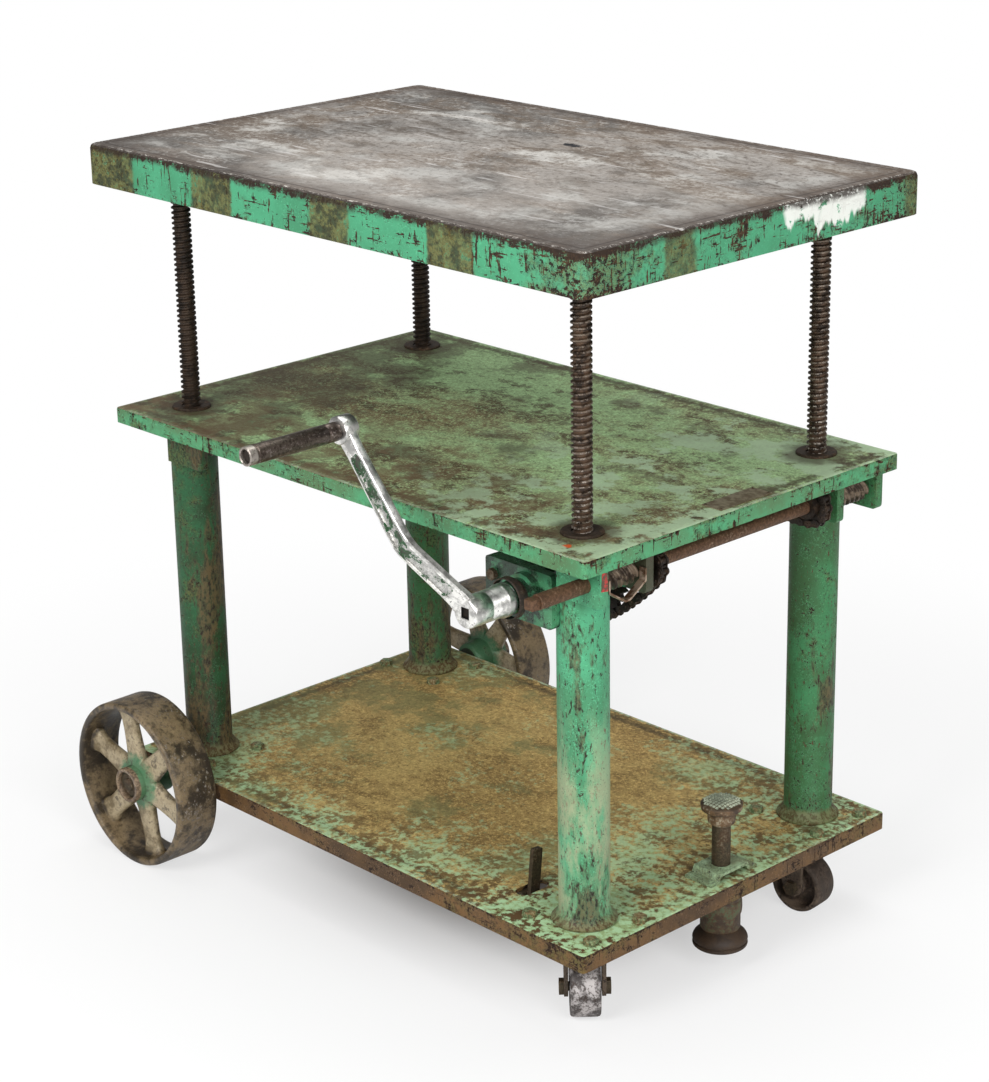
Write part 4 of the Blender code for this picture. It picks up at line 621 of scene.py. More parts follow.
def screw_finish():
    """The lifting screws: brown-black in the roots and rubbed a little on the crests, with painted glints on
    the crests of the right-hand screws and painted shade making the left-hand ones near black.
    """
    f = Finish("screw_steel")
    span_x = f.x.size() - abs(LEGS[1].x - CENTRE.x)
    span_y = f.y.size() - abs(LEGS[1].y - CENTRE.y)
    radius = (span_x * span_x + span_y * span_y).math("SQRT")
    crest = radius.step(0.0117, 0.0127)
    rub = f.noise(60, 6, 0.7, shift=2)
    fine = f.noise(300, 4, 0.7)
    # Screws at the far left: their crests are dimmed and their steel is darkened below, as painted shade
    left = f.x.step(0.1, -0.2)
    tone = f.mix(rub.step(0.40, 0.60), (0.022, 0.014, 0.009), (0.100, 0.060, 0.036))
    tone = f.mix(crest * rub.step(0.42, 0.56) * (0.62 - left * 0.50), tone, (0.20, 0.165, 0.13))
    # Painted glints: pale specks on the crests of the right-hand screws, most on their lower part
    glints = fine.step(0.53, 0.58) * f.z.step(0.82, 0.64) * f.x.step(0.1, 0.3)
    glints = (fine.step(0.53, 0.60) * 0.35 * (1 - left)).maximum(glints)
    tone = f.mix(crest * glints, tone, (0.66, 0.61, 0.55))
    tone = f.mix(fine.step(0.54, 0.62) * 0.5, tone, (0.080, 0.040, 0.018))
    # Painted shade: the left-hand screws darkened almost to black
    tone = f.mix(left * 0.55, tone, (0.012, 0.010, 0.008))
    return f.set(tone, 0.36 + fine * 0.25, 0.45 + crest * 0.3, fine, 0.3, 0.0005)


def wheel_finish():
    """The cast wheels: rust-brown rims, cream left on the spokes and green by the hub."""
    f = Finish("wheel_iron")
    far_x = f.x - (AXLE.x - CENTRE.x)
    far_z = f.z - AXLE.z
    radius = (far_x * far_x + far_z * far_z).math("SQRT")
    large = f.noise(14, 6, 0.66, shift=3)
    medium = f.noise(60, 8, 0.72, shift=8)
    fine = f.noise(280, 5, 0.7, shift=12)
    tone = f.mix((large * 0.6 + medium * 0.4).step(0.43, 0.57), (0.028, 0.019, 0.010), (0.230, 0.165, 0.088))
    inside = radius.step(0.104, 0.099)
    cream = (medium * 0.5 + large * 0.5).step(0.43, 0.55) * inside
    tone = f.mix(inside * 0.8, tone, (0.200, 0.150, 0.080))
    tone = f.mix(cream * 0.60, tone, (0.60, 0.50, 0.33))
    tread = radius.step(0.1150, 0.1168) * (medium * 0.5 + fine * 0.5).step(0.565, 0.59)
    tone = f.mix(tread * 0.8, tone, (0.42, 0.38, 0.33))
    end = f.y.size().step(0.3470, 0.3490)
    hub = (radius + (medium - 0.5) * 0.04).step(0.044, 0.030) * (1 - end)
    tone = f.mix(hub * 0.85, tone, (0.046, 0.190, 0.090))
    collar = end * radius.step(0.0300, 0.0280)
    rusty = f.mix(fine.step(0.44, 0.56), (0.240, 0.165, 0.100), (0.075, 0.044, 0.026))
    tone = f.mix(collar * 0.9, tone, rusty)
    tone = f.mix(radius.step(0.0192, 0.0184) * 0.85, tone, (0.030, 0.020, 0.014))
    dirt = (fine * 0.2 + medium * 0.5 + large * 0.3).step(0.515, 0.59)
    tone = f.mix(dirt * 0.72, tone, (0.036, 0.023, 0.014))
    return f.set(tone, 0.24 + medium * 0.34, 0.12 + tread * 0.4, fine * 0.6 + medium * 0.9, 0.6, 0.0016, 0.5)


def lock_finish():
    """The floor lock: rusted cast iron, green-brown under the deck and paler on its button."""
    f = Finish("lock_iron")
    medium = f.noise(58, 7, 0.7, shift=17)
    fine = f.noise(300, 5, 0.7, shift=4)
    tone = f.mix(medium.step(0.38, 0.60), (0.046, 0.027, 0.015), (0.15, 0.086, 0.040))
    low = f.z.step(0.135, 0.115)
    green = (medium * 0.6 + fine * 0.4).step(0.50, 0.54) * low * f.z.step(0.056, 0.062)
    tone = f.mix(green * 0.7, tone, (0.085, 0.150, 0.070))
    bright = (fine * 0.5 + medium * 0.5).step(0.52, 0.60) * (1 - low)
    tone = f.mix(bright * 0.7, tone, (0.40, 0.36, 0.27))
    foot = f.z.step(0.057, 0.054)
    tone = f.mix(low * 0.35, tone, (0.030, 0.018, 0.010))
    tone = f.mix(foot * 0.65, tone, (0.022, 0.013, 0.008))
    crown = f.z.step(0.2272, 0.2278)
    tone = f.mix(crown * 0.5, tone, (0.035, 0.024, 0.014))
    return f.set(tone, 0.5 + medium * 0.2, 0.2 + bright * 0.3, fine * 0.7 + medium * 0.6, 0.5, 0.001)


def strap_finish():
    """The floor lock's strap: greenish pale paint, worn."""
    f = Finish("lock_strap_paint")
    tone, rough, relief, chip = painted(f, (0.33, 0.47, 0.28), (0.13, 0.12, 0.05), 0.016, 0.02, 43, 2.2)
    return f.set(tone, rough, chip * 0.2, relief, 0.45, 0.001)


def tread_finish():
    """The caster's tread: dark iron rubbed to bright steel in its middle."""
    f = Finish("caster_tread")
    medium = f.noise(46, 7, 0.7, shift=5)
    fine = f.noise(260, 5, 0.7)
    tone = f.mix(medium.step(0.42, 0.56), (0.085, 0.075, 0.072), (0.46, 0.43, 0.42))
    tone = f.mix(fine.step(0.50, 0.60) * 0.8, tone, (0.040, 0.026, 0.019))
    return f.set(tone, 0.42 + fine * 0.25, 0.55, fine * 0.6 + medium * 0.8, 0.5, 0.0013)


def two_tone(name, scale, detail, grit, shift, span, dark, light, rough, spread, metal, strength,
             distance=0.0006):
    """A small piece's finish: one noise drives its two tones, its roughness and its relief."""
    f = Finish(name)
    medium = f.noise(scale, detail, grit, shift=shift)
    tone = f.mix(medium.step(*span), dark, light)
    return f.set(tone, rough + medium * spread, metal, medium, strength, distance)


def worm_finish():
    """Worm threads, bright where they run."""
    return two_tone("worm_steel", 70, 6, 0.7, 5, (0.42, 0.58), (0.040, 0.027, 0.018), (0.20, 0.150, 0.105),
                    0.32, 0.3, 0.6, 0.3)


def guard_finish():
    """The strap under the worm, polished brown."""
    return two_tone("guard_bronze", 70, 6, 0.7, 15, (0.42, 0.58), (0.14, 0.080, 0.045), (0.48, 0.37, 0.28),
                    0.26, 0.25, 0.8, 0.3)


def red_finish():
    """A daub of old red paint on a bracket's edge."""
    return two_tone("red_paint", 90, 7, 0.72, 8, (0.46, 0.54), (0.40, 0.030, 0.022), (0.09, 0.045, 0.026),
                    0.5, 0.1, 0.0, 0.4, 0.0008)


def plate_finish():
    """The bare plate on the middle deck: dull brown brass."""
    return two_tone("bare_plate", 80, 7, 0.7, 8, (0.42, 0.60), (0.16, 0.12, 0.065), (0.30, 0.26, 0.17),
                    0.42, 0.25, 0.6, 0.35)


MAKERS = {
    "table": table_finish,
    "middle": mid_finish,
    "lower": low_finish,
    "leg_1": lambda: leg_finish(1),
    "leg_2": lambda: leg_finish(2),
    "leg_3": lambda: leg_finish(3),
    "leg_4": lambda: leg_finish(4),
    "greasy": greasy_and_shaded_paint,
    "wheel_dark": lambda: cast_finish(
        "caster_dark_iron", (0.085, 0.058, 0.040), (0.24, 0.175, 0.12), 0.5, 21),
    "deck_bolt": deck_bolt_finish,
    "nickel": nickel_finish,
    "channel": channel_finish,
    "grip": grip_finish,
    "screw": screw_finish,
    "wheel": wheel_finish,
    "lock": lock_finish,
    "strap": strap_finish,
    "studs": lambda: cast_finish("button_studs", (0.46, 0.52, 0.38), (0.62, 0.66, 0.50), 0.5, 6),
    "tread": tread_finish,
    "thread": worm_finish,
    "guard": guard_finish,
    "red": red_finish,
    "plate": plate_finish,
    # Near-black steel of the crank's socket: partly grease, partly painted shade in the hole
    "black": lambda: dark_steel("black_grease_and_shade", (0.010, 0.008, 0.007), (0.030, 0.024, 0.020), 0.6, 0.2),
    "steel": lambda: dark_steel("dark_steel_oiled", (0.040, 0.029, 0.022), (0.16, 0.13, 0.105)),
    "shaft": lambda: dark_steel("shaft_rust", (0.145, 0.076, 0.040), (0.30, 0.22, 0.155), 0.5, 0.35),
    "chain": lambda: dark_steel("chain_steel", (0.026, 0.018, 0.013), (0.12, 0.090, 0.068), 0.45, 0.4, 1.6),
    "bolt": lambda: dark_steel("bolt_steel", (0.075, 0.055, 0.030), (0.20, 0.17, 0.12), 0.55, 0.6, 1.5),
    "bush": lambda: dark_steel("bush_steel", (0.055, 0.036, 0.022), (0.15, 0.105, 0.070), 0.5, 0.7),
    "caster": lambda: cast_finish("caster_iron", (0.11, 0.080, 0.055), (0.22, 0.16, 0.11), 0.4, 12),
}
MADE = {}


def finish(name):
    """The finish of that name, made at its first use."""
    if name not in MADE:
        MADE[name] = MAKERS[name]()
    return MADE[name]


# Forms

HERE = Matrix.Identity(4)
HUB_SIDES = 72
RING_TURNS = [2 * math.pi * i / HUB_SIDES for i in range(HUB_SIDES)]


def facing(axis, place):
    """A matrix whose Z runs along a world axis, with X kept level."""
    turns = {"Z": HERE, "Y": Matrix(((1, 0, 0, 0), (0, 0, 1, 0), (0, -1, 0, 0), (0, 0, 0, 1))),
             "X": Matrix(((0, 0, 1, 0), (1, 0, 0, 0), (0, 1, 0, 0), (0, 0, 0, 1)))}
    return Matrix.Translation(place) @ turns[axis]


def lying(out, across, through, place):
    """A matrix whose axes are three directions and whose origin is a place."""
    return Matrix([*zip(out, across, through, place), (0, 0, 0, 1)])


def direction(angle):
    """The way out at an angle in the upright X and Z plane, and the way across it."""
    out = Vector((math.cos(angle), 0, math.sin(angle)))
    return out, Vector((-out.z, 0, out.x))


def rectangle(low, high):
    """The corners of a rectangle."""
    return [(low[0], low[1]), (high[0], low[1]), (high[0], high[1]), (low[0], high[1])]


def mirrored(half, *between):
    """A closed profile from its half: out on the minus side, back on the plus side, then the rest."""
    profile = [(radius, -along) for radius, along in half] + half[::-1] + list(between)
    return profile + profile[:1]


def ring(radius, along):
    """A round ring of points about Z."""
    return [(radius * math.cos(t), radius * math.sin(t), along) for t in RING_TURNS]


def square_ring(half, along):
    """A square ring with as many points as a round one."""
    reach = [half / max(abs(math.cos(t)), abs(math.sin(t))) for t in RING_TURNS]
    return [(r * math.cos(t), r * math.sin(t), along) for r, t in zip(reach, RING_TURNS)]


def at(x, y, z):
    """A point given from the middle of the table, in the shared frame."""
    return Vector((CENTRE.x + x, CENTRE.y + y, z))


class Form:
    """The faces of one piece, gathered from turned, cut and threaded shapes."""

    def __init__(self):
        self.bm = bmesh.new()

    def rows(self, rows, place, number=0, closed=False, caps=False):
        """Skins rings of points; a ring of one point closes to a tip."""
        rings = [[self.bm.verts.new(place @ Vector(point)) for point in row] for row in rows]
        pairs = list(zip(rings, rings[1:]))
        if closed:
            pairs.append((rings[-1], rings[0]))
        for one, two in pairs:
            count = max(len(one), len(two))
            for i in range(count):
                j = (i + 1) % count
                if len(one) == 1:
                    corners = [one[0], two[j], two[i]]
                elif len(two) == 1:
                    corners = [one[i], one[j], two[0]]
                else:
                    corners = [one[i], one[j], two[j], two[i]]
                self.bm.faces.new(corners).material_index = number
        if caps:
            for ring in (rings[0], rings[-1]):
                self.bm.faces.new(ring).material_index = number
        return self

    def turned(self, profile, axis, place, sides=None, start=0.0):
        """Turns a profile of (radius, along) about an axis through a place, or about a matrix's Z."""
        sides = sides or sizes().round_sides
        turns = [start + 2 * math.pi * i / sides for i in range(sides)]
        rows = []
        for radius, along in profile:
            if radius == 0:
                rows.append([(0, 0, along)])
            else:
                rows.append([(radius * math.cos(t), radius * math.sin(t), along) for t in turns])
        return self.rows(rows, facing(axis, place) if axis else place)

    def rod(self, radius, low, high, axis, place, sides=None, edge=0.0008):
        """A plain bar with broken edges, between two distances along an axis."""
        profile = [(0, low), (radius - edge, low), (radius, low + edge), (radius, high - edge),
                   (radius - edge, high), (0, high)]
        return self.turned(profile, axis, place, sides)

    def slab(self, outline, low, high, place, edge):
        """An outline in X and Y given thickness along Z, its rims cut back by an edge."""
        centre = sum((Vector(p) for p in outline), Vector((0, 0))) / len(outline)

        def shrunk(by):
            out = []
            for p in outline:
                way = Vector(p) - centre
                out.append(centre + way * max(0.0, 1 - by / max(way.length, 1e-6)))
            return out

        rows = [[(*p, low) for p in shrunk(edge)], [(*p, low + edge) for p in outline],
                [(*p, high - edge) for p in outline], [(*p, high) for p in shrunk(edge)]]
        return self.rows(rows, place, caps=True)

    def hexagon(self, across, low, high, axis, place, turn):
        """A hexagon head with a chamfered crown."""
        radius = across / math.sqrt(3)
        profile = [(0, low), (radius, low), (radius, high - across * 0.06), (radius * 0.86, high), (0, high)]
        return self.turned(profile, axis, place, 6, turn)

    def thread(self, crest, root, pitch, starts, low, high, axis, place, sides=28):
        """A threaded bar whose rows of points follow the thread: flat root, flank, flat crest, flank."""
        phases = ((0.0, root), (0.30, root), (0.5, crest), (0.78, crest))
        matrix = facing(axis, place)
        count = int((high - low) / pitch) - starts
        grid = []
        for turn in range(count + starts):
            for phase, radius in phases:
                row = []
                for i in range(sides):
                    angle = 2 * math.pi * i / sides
                    along = low + (turn + phase + starts * i / sides) * pitch
                    point = (radius * math.cos(angle), radius * math.sin(angle), along)
                    row.append(self.bm.verts.new(matrix @ Vector(point)))
                grid.append(row)
        wrap = len(phases) * starts
        for j in range(len(grid) - 1 - wrap):
            for i in range(sides):
                if i + 1 < sides:
                    corners = (grid[j][i], grid[j][i + 1], grid[j + 1][i + 1], grid[j + 1][i])
                else:
                    corners = (grid[j][i], grid[j + wrap][0], grid[j + 1 + wrap][0], grid[j + 1][i])
                self.bm.faces.new(corners)
        return self

    def piece(self, name, body, finishes, replaced=(), sharp=38):
        """Makes the piece, rides it on its body and hides the parts that it stands for."""
        bmesh.ops.recalc_face_normals(self.bm, faces=self.bm.faces)
        limit = math.radians(sharp)
        for edge in self.bm.edges:
            edge.smooth = len(edge.link_faces) == 2 and edge.calc_face_angle(0) < limit
        for face in self.bm.faces:
            face.smooth = True
        mesh = bpy.data.meshes.new(name)
        self.bm.to_mesh(mesh)
        self.bm.free()
        made = bpy.data.objects.new(name, mesh)
        bpy.context.scene.collection.objects.link(made)
        for each in finishes:
            mesh.materials.append(finish(each))
        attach(made, body)
        if replaced:
            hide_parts(*replaced)
        return made


def dressed(node, finish_name, bevel=0.0012, segments=2, angle=35):
    """Gives a CAD node its finish and broken edges."""
    made = NODES[node]
    made.data.materials.clear()
    made.data.materials.append(finish(finish_name))
    if bevel:
        broken = made.modifiers.new("broken_edges", "BEVEL")
        broken.width = bevel
        broken.segments = segments
        broken.limit_method = "ANGLE"
        broken.angle_limit = math.radians(angle)
    return made


def arc(centre, radius, start, end, steps):
    """Points of a flat arc, in degrees."""
    turns = [math.radians(start + (end - start) * i / steps) for i in range(steps + 1)]
    return [(centre[0] + radius * math.cos(t), centre[1] + radius * math.sin(t)) for t in turns]


# Pieces

LEG_RADIUS = 0.03175
LEG_FOOT = 0.1323
LEG_TOP = 0.5727
COLLAR = 0.041
SCREW_CREST = 0.0128
PLATE_NEAR = 0.0314
PLATE_FAR = 0.0441
PLATE_REACH = 0.0724
PLATE_BOTTOM = 0.5648
PLATE_TOP = 0.6263
NOTCH_REACH = 0.0694
NOTCH_FROM = 0.6103
RIGHT_LEGS = (1, 2)
SHAFT_RADIUS = 0.0095
BOLT_AWAY = (0.0525, 0.0425)
BOLT_LIMIT = (0.432, 0.272)
BOLT_INSIDE = (0.4265, 0.268)
BUSH_FOOT = 0.6267
DAUB = (-0.0378, 0.5985)
BRACKET_BOLT = 0.013
BRACKET_FRONT = -0.2538
BOSS_RINGS = ((-0.2778, -0.2715), (-0.2640, -0.2552))
PLATE_LOW = (0.404, -0.042)
PLATE_HIGH = (0.436, 0.050)
XZ = Matrix(((1, 0, 0, 0), (0, 0, 1, 0), (0, 1, 0, 0), (0, 0, 0, 1)))


def build_surfaces():
    """Finishes the table and both decks."""
    dressed("table_top", "table", 0.0028, 3, 30)
    dressed("mid_deck", "middle", 0.0014)
    dressed("lower_deck", "lower", 0.0014)


def build_legs():
    """Leg tubes with their welds, feet and bearing plates."""
    bore, foot = LEG_RADIUS - 0.005, LEG_FOOT
    corner, top = 0.006, PLATE_TOP - 0.0005
    for number, leg in LEGS.items():
        place = Vector((leg.x, leg.y, 0))
        form = Form()
        form.turned([
            (bore, foot), (COLLAR - 0.001, foot), (COLLAR, foot + 0.001), (COLLAR, foot + 0.003),
            (COLLAR - 0.002, foot + 0.005), (LEG_RADIUS + 0.005, foot + 0.007),
            (LEG_RADIUS + 0.0035, foot + 0.010), (LEG_RADIUS + 0.001, foot + 0.0125),
            (LEG_RADIUS, foot + 0.014), (LEG_RADIUS, 0.30), (LEG_RADIUS, 0.45), (LEG_RADIUS, LEG_TOP - 0.001),
            (LEG_RADIUS - 0.001, LEG_TOP), (bore, LEG_TOP), (bore, foot)], "Z", place)
        outline = [(0, PLATE_BOTTOM)] + arc((PLATE_REACH - corner, PLATE_BOTTOM + corner), corner, -90, 0, 4)
        if number in RIGHT_LEGS:
            outline += [(PLATE_REACH, NOTCH_FROM), (NOTCH_REACH, NOTCH_FROM), (NOTCH_REACH, top)]
        else:
            outline += [(PLATE_REACH, top)]
        outline += [(0, top)]
        for way in (-1, 1):
            low, high = sorted((way * PLATE_NEAR, way * PLATE_FAR))
            form.slab(outline, low, high, Matrix.Translation(place) @ XZ, edge=0.0006)
        form.piece(f"leg_{number}_tube", "frame", [f"leg_{number}"], [f"leg_{number}"])


def build_bolts():
    """Deck bolts by the legs' feet and the bracket's bolt."""
    across = sizes().bolt_width
    washer = across * 0.60
    form = Form()
    for number, leg in LEGS.items():
        for turn, (bx, by) in enumerate(((1, 1), (1, -1), (-1, 1), (-1, -1))):
            spot = Vector((leg.x + bx * BOLT_AWAY[0], leg.y + by * BOLT_AWAY[1], 0))
            for axis in (0, 1):
                off = spot[axis] - CENTRE[axis]
                if abs(off) > BOLT_LIMIT[axis]:
                    spot[axis] = CENTRE[axis] + math.copysign(BOLT_INSIDE[axis], off)
            form.turned([(0, LOW_TOP), (washer, LOW_TOP), (washer, LOW_TOP + 0.0014), (0, LOW_TOP + 0.0014)],
                        "Z", spot, 24)
            form.hexagon(across, LOW_TOP + 0.0012, LOW_TOP + 0.0072, "Z", spot, turn=number + turn * 0.7)
    form.piece("leg_foot_bolts", "frame", ["deck_bolt"])
    form = Form()
    form.hexagon(BRACKET_BOLT, -0.0005, 0.0065, "Y", at(0.2665, BRACKET_FRONT - 0.006, 0.5658), turn=0.2)
    form.piece("bracket_bolt", "frame", ["bolt"])


def build_screws():
    """The lifting screws and the lips of their bushes."""
    size = sizes()
    root = SCREW_CREST - size.thread_depth
    bore = SCREW_CREST + 0.0003
    lip = MID_TOP + 0.0003
    for number, leg in LEGS.items():
        place = Vector((leg.x, leg.y, 0))
        low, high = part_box(f"lift_screw_{number}")
        form = Form()
        form.thread(SCREW_CREST, root, size.thread_pitch, 1, low.z + 0.007, high.z - 0.0009, "Z", place)
        form.rod(root - 0.0002, low.z, high.z, "Z", place, 24)
        form.piece(
            f"lift_screw_{number}_thread", "table", ["screw"], [f"lift_screw_{number}"], 60)
        form = Form()
        form.turned([
            (bore, BUSH_FOOT), (0.017, BUSH_FOOT), (0.017, lip), (0.0262, lip), (0.0262, MID_TOP + 0.0022),
            (0.0250, MID_TOP + 0.0034), (0.0165, MID_TOP + 0.0036), (bore, MID_TOP + 0.0028),
            (bore, BUSH_FOOT)], "Z", place, 48)
        form.piece(f"bush_{number}_ring", "frame", ["bush"], [f"deck_bush_{number}"])


CRANK_Y_FRONT = -0.3538
CRANK_Y_BACK = -0.2893
ARM_Y = -0.3468
EYE_Y = -0.3878
ARM_REACH = 0.254
ARM_ANGLE = math.radians(130)
ARM_OFFSET = 0.041
ARM_THICK = 0.012
GRIP_FROM = -0.3991
GRIP_TO = -0.5341
SQUARE = 0.0127
SQUARE_LONG = 0.0138
HUB_HALF = 0.016
EYE_HALF = 0.0118
CHANNEL_FROM = 0.024
CHANNEL_TO = 0.224
CHANNEL_EASE = 0.008
CHANNEL_DEPTH = 0.003
ARM_STATIONS = (0.0105, 0.014, 0.018, 0.024, 0.028, 0.032, 0.040, 0.052, 0.066, 0.078, 0.086, 0.094, 0.102,
                0.112, 0.13, 0.16, 0.19, 0.214, 0.220, 0.224, 0.232, 0.242, 0.254)


def share_of(value, start, length):
    """How far a value has come along a stretch, from 0 to 1."""
    return min(1.0, max(0.0, (value - start) / length))


def arm_path(along):
    """Depth of the arm's middle at a distance from the hub: level, slanting, then level again."""
    window = [along + 0.011 * (i / 8 - 1) for i in range(17)]
    return -ARM_OFFSET * sum(share_of(s, 0.012, 0.085) for s in window) / len(window)


def arm_section(along):
    """The arm's outline at a distance from the hub: flat, with its near face sunk to a channel."""
    half = HUB_HALF + (EYE_HALF - HUB_HALF) * along / ARM_REACH
    half += 0.0025 * max(0.0, 1 - along / 0.03) + 0.0022 * max(0.0, 1 - (ARM_REACH - along) / 0.03)
    full = share_of(along, CHANNEL_FROM, CHANNEL_EASE) * share_of(-along, -CHANNEL_TO, CHANNEL_EASE)
    inside = (half - 0.0046) * (0.35 + 0.65 * full)
    t = ARM_THICK / 2
    side = [(half, 0.0022 - t), (half - 0.0018, 0.0002 - t), (half - 0.0032, -t), (inside + 0.0006, -t),
            (inside, CHANNEL_DEPTH * full - t)]
    back = [(half, t - 0.0022), (half - 0.0022, t), (0.0022 - half, t), (-half, t - 0.0022)]
    return [(-wide, deep) for wide, deep in side] + side[::-1] + back


def add_arm(form, hub):
    """The crank's arm from hub to eye, with its channel in a finish of its own."""
    out, across = direction(ARM_ANGLE)
    rows = []
    for along in ARM_STATIONS:
        place = hub + out * along + Vector((0, CENTRE.y + ARM_Y + arm_path(along), 0))
        rows.append([place + across * wide + Vector((0, deep, 0)) for wide, deep in arm_section(along)])
    form.rows(rows, HERE, caps=True)
    for face in form.bm.faces:
        spot = face.calc_center_median() - hub
        along = spot.dot(out)
        depth = spot.y - CENTRE.y - ARM_Y - arm_path(along) + ARM_THICK / 2
        if 0.026 < along < 0.222 and 0.0008 < depth < 0.0040 and abs(spot.dot(across)) < 0.0112:
            face.material_index = 1


def add_hub(form, hub):
    """The crank's turned hub with its square socket; the socket's walls and shallow floor are near black,
    partly grease and partly painted shade that makes the hole look deep.
    """
    long = CRANK_Y_BACK - CRANK_Y_FRONT
    matrix = facing("Y", hub + Vector((0, CENTRE.y + CRANK_Y_FRONT, 0)))
    socket = SQUARE / 2 + 0.0003
    form.rows([square_ring(socket, 0.0006), square_ring(socket, 0.012)], matrix, 2)
    outside = ((0.0165, 0.0), (0.0180, 0.0006), (0.0190, 0.0024), (0.0190, 0.028), (0.0184, 0.0288),
               (0.0184, 0.0306), (0.0190, 0.0314), (0.0190, long - 0.0125), (0.0204, long - 0.0105),
               (0.0207, long - 0.0095), (0.0207, long - 0.0012), (0.0195, long), (0.0102, long),
               (0.0102, 0.030))
    form.rows([square_ring(socket, 0.0006), square_ring(socket + 0.0006, 0.0),
               *(ring(radius, along) for radius, along in outside),
               square_ring(socket, 0.026), square_ring(socket, 0.012)], matrix)
    form.rows([square_ring(socket, 0.0035), square_ring(socket * 0.5, 0.0037), square_ring(0.0004, 0.0038)],
              matrix, 2, caps=True)


def build_crank():
    """The forged crank with its channel and square socket, and the grip on its spindle."""
    hub = Vector((CRANK_AXIS.x, 0, CRANK_AXIS.z))
    spot = hub + direction(ARM_ANGLE)[0] * ARM_REACH + Vector((0, CENTRE.y, 0))
    form = Form()
    add_arm(form, hub)
    add_hub(form, hub)
    bore = 0.0069
    eye = [(bore, -0.011), (0.0125, -0.011), (0.0160, -0.0103), (0.0170, -0.0088), (0.0170, 0.0088),
           (0.0160, 0.0103), (0.0130, 0.011), (bore, 0.011), (bore, -0.011)]
    form.turned(eye, "Y", spot + Vector((0, EYE_Y, 0)), HUB_SIDES)
    form.piece("crank_forging", "crank", ["nickel", "channel", "black"], ["crank_arm"], 42)
    form = Form()
    form.turned([
        (0, GRIP_TO + 0.0035), (0.0070, GRIP_TO + 0.0035), (0.0082, GRIP_TO + 0.0045),
        (0.0082, GRIP_FROM - 0.0005), (0.00656, GRIP_FROM), (0.00656, EYE_Y + 0.0112),
        (0.0108, EYE_Y + 0.0114), (0.0104, EYE_Y + 0.0128), (0.0070, EYE_Y + 0.0140), (0, EYE_Y + 0.0143)],
        "Y", spot, 40)
    form.piece("crank_spindle_pin", "crank", ["steel"], ["crank_spindle"])
    form = Form()
    radius, groove, bore = 0.0115, 0.0108, 0.0086
    form.turned([
        (bore, GRIP_TO + 0.010), (bore, GRIP_TO + 0.0008), (0.0094, GRIP_TO), (0.0106, GRIP_TO),
        (0.0114, GRIP_TO + 0.0007), (radius, GRIP_TO + 0.002), (radius, GRIP_TO + 0.0115),
        (groove, GRIP_TO + 0.0122), (groove, GRIP_TO + 0.0138), (radius, GRIP_TO + 0.0145),
        (radius, GRIP_FROM - 0.0200),
        (0.0109, GRIP_FROM - 0.0192), (0.0109, GRIP_FROM - 0.0178), (radius, GRIP_FROM - 0.0170),
        (radius, GRIP_FROM - 0.002), (groove, GRIP_FROM - 0.0005), (bore, GRIP_FROM - 0.0005),
        (bore, GRIP_TO + 0.010)], "Y", spot, 56)
    form.piece("crank_grip_tube", "grip", ["grip"], ["crank_grip"])


def build_bracket():
    """The crank's bracket with rings on its boss, the crank shaft, its sprocket, the guard and a red daub."""
    for node, finish_name, bevel in (("crank_bracket", "greasy", 0.0012), ("crank_shaft", "steel", 0.0),
                                     ("crank_sprocket", "chain", 0.0004), ("worm_guard", "guard", 0.0004)):
        dressed(node, finish_name, bevel)
    spot = Vector((CRANK_AXIS.x, CENTRE.y, CRANK_AXIS.z))
    form = Form()
    form.turned([(0.0245, -0.2892), (0.0253, -0.2885), (0.0256, -0.2870), (0.0256, -0.2796),
                 (0.0248, -0.2786), (0.0240, -0.2786), (0.0240, -0.2892), (0.0245, -0.2892)], "Y", spot, 64)
    for far, near in BOSS_RINGS:
        form.turned(
            [(0.0190, far), (0.0206, far), (0.0206, near), (0.0190, near), (0.0190, far)], "Y", spot, 64)
    form.piece("boss_rings", "frame", ["steel"])
    form = Form()
    spot = Vector((LEGS[1].x + PLATE_REACH, LEGS[1].y + DAUB[0], DAUB[1]))
    outline = [(-0.0055, -0.0110), (0.0055, -0.0125), (0.0048, 0.0100), (-0.0040, 0.0120)]
    form.slab(outline, 0.0, 0.0007, facing("X", spot), edge=0.0003)
    form.piece("red_daub", "frame", ["red"])


NUT_TEETH = 20
NUT_OUTSIDE = 0.0311
TOOTH_DEPTH = 0.0036
WORM_STARTS = 4
WORM_ROOT = 0.0122
WORM_BORE = 0.0098
WORM_LONG = 0.056


def worm_row(radii, along):
    """A ring of points about Y, from a radius for each."""
    turns = [2 * math.pi * i / len(radii) for i in range(len(radii))]
    return [(radius * math.sin(turn), along, radius * math.cos(turn)) for radius, turn in zip(radii, turns)]


def build_worm(number):
    """A worm with four starts, cut to the pitch of its nut's teeth."""
    rows, sides = 88, 56
    pitch = 2 * math.pi * (NUT_OUTSIDE - TOOTH_DEPTH / 2) / NUT_TEETH
    grid = []
    for row in range(rows + 1):
        along = WORM_LONG * (row / rows - 0.5)
        radii = []
        for i in range(sides):
            angle = 2 * math.pi * i / sides
            wave = 0.5 + 0.5 * math.cos(WORM_STARTS * angle - 2 * math.pi * along / pitch)
            radii.append(WORM_ROOT + TOOTH_DEPTH * min(1, max(0, 1.9 * wave - 0.45)))
        grid.append(worm_row(radii, along))
    bore = [worm_row([WORM_BORE] * sides, way * WORM_LONG / 2) for way in (1, -1)]
    form = Form()
    form.rows(grid + bore, Matrix.Translation(middle(f"worm_{number}")), closed=True)
    side = "right" if number in RIGHT_LEGS else "left"
    form.piece(f"worm_{number}_thread", f"shaft_{side}", ["thread"], [f"worm_{number}"], 50)


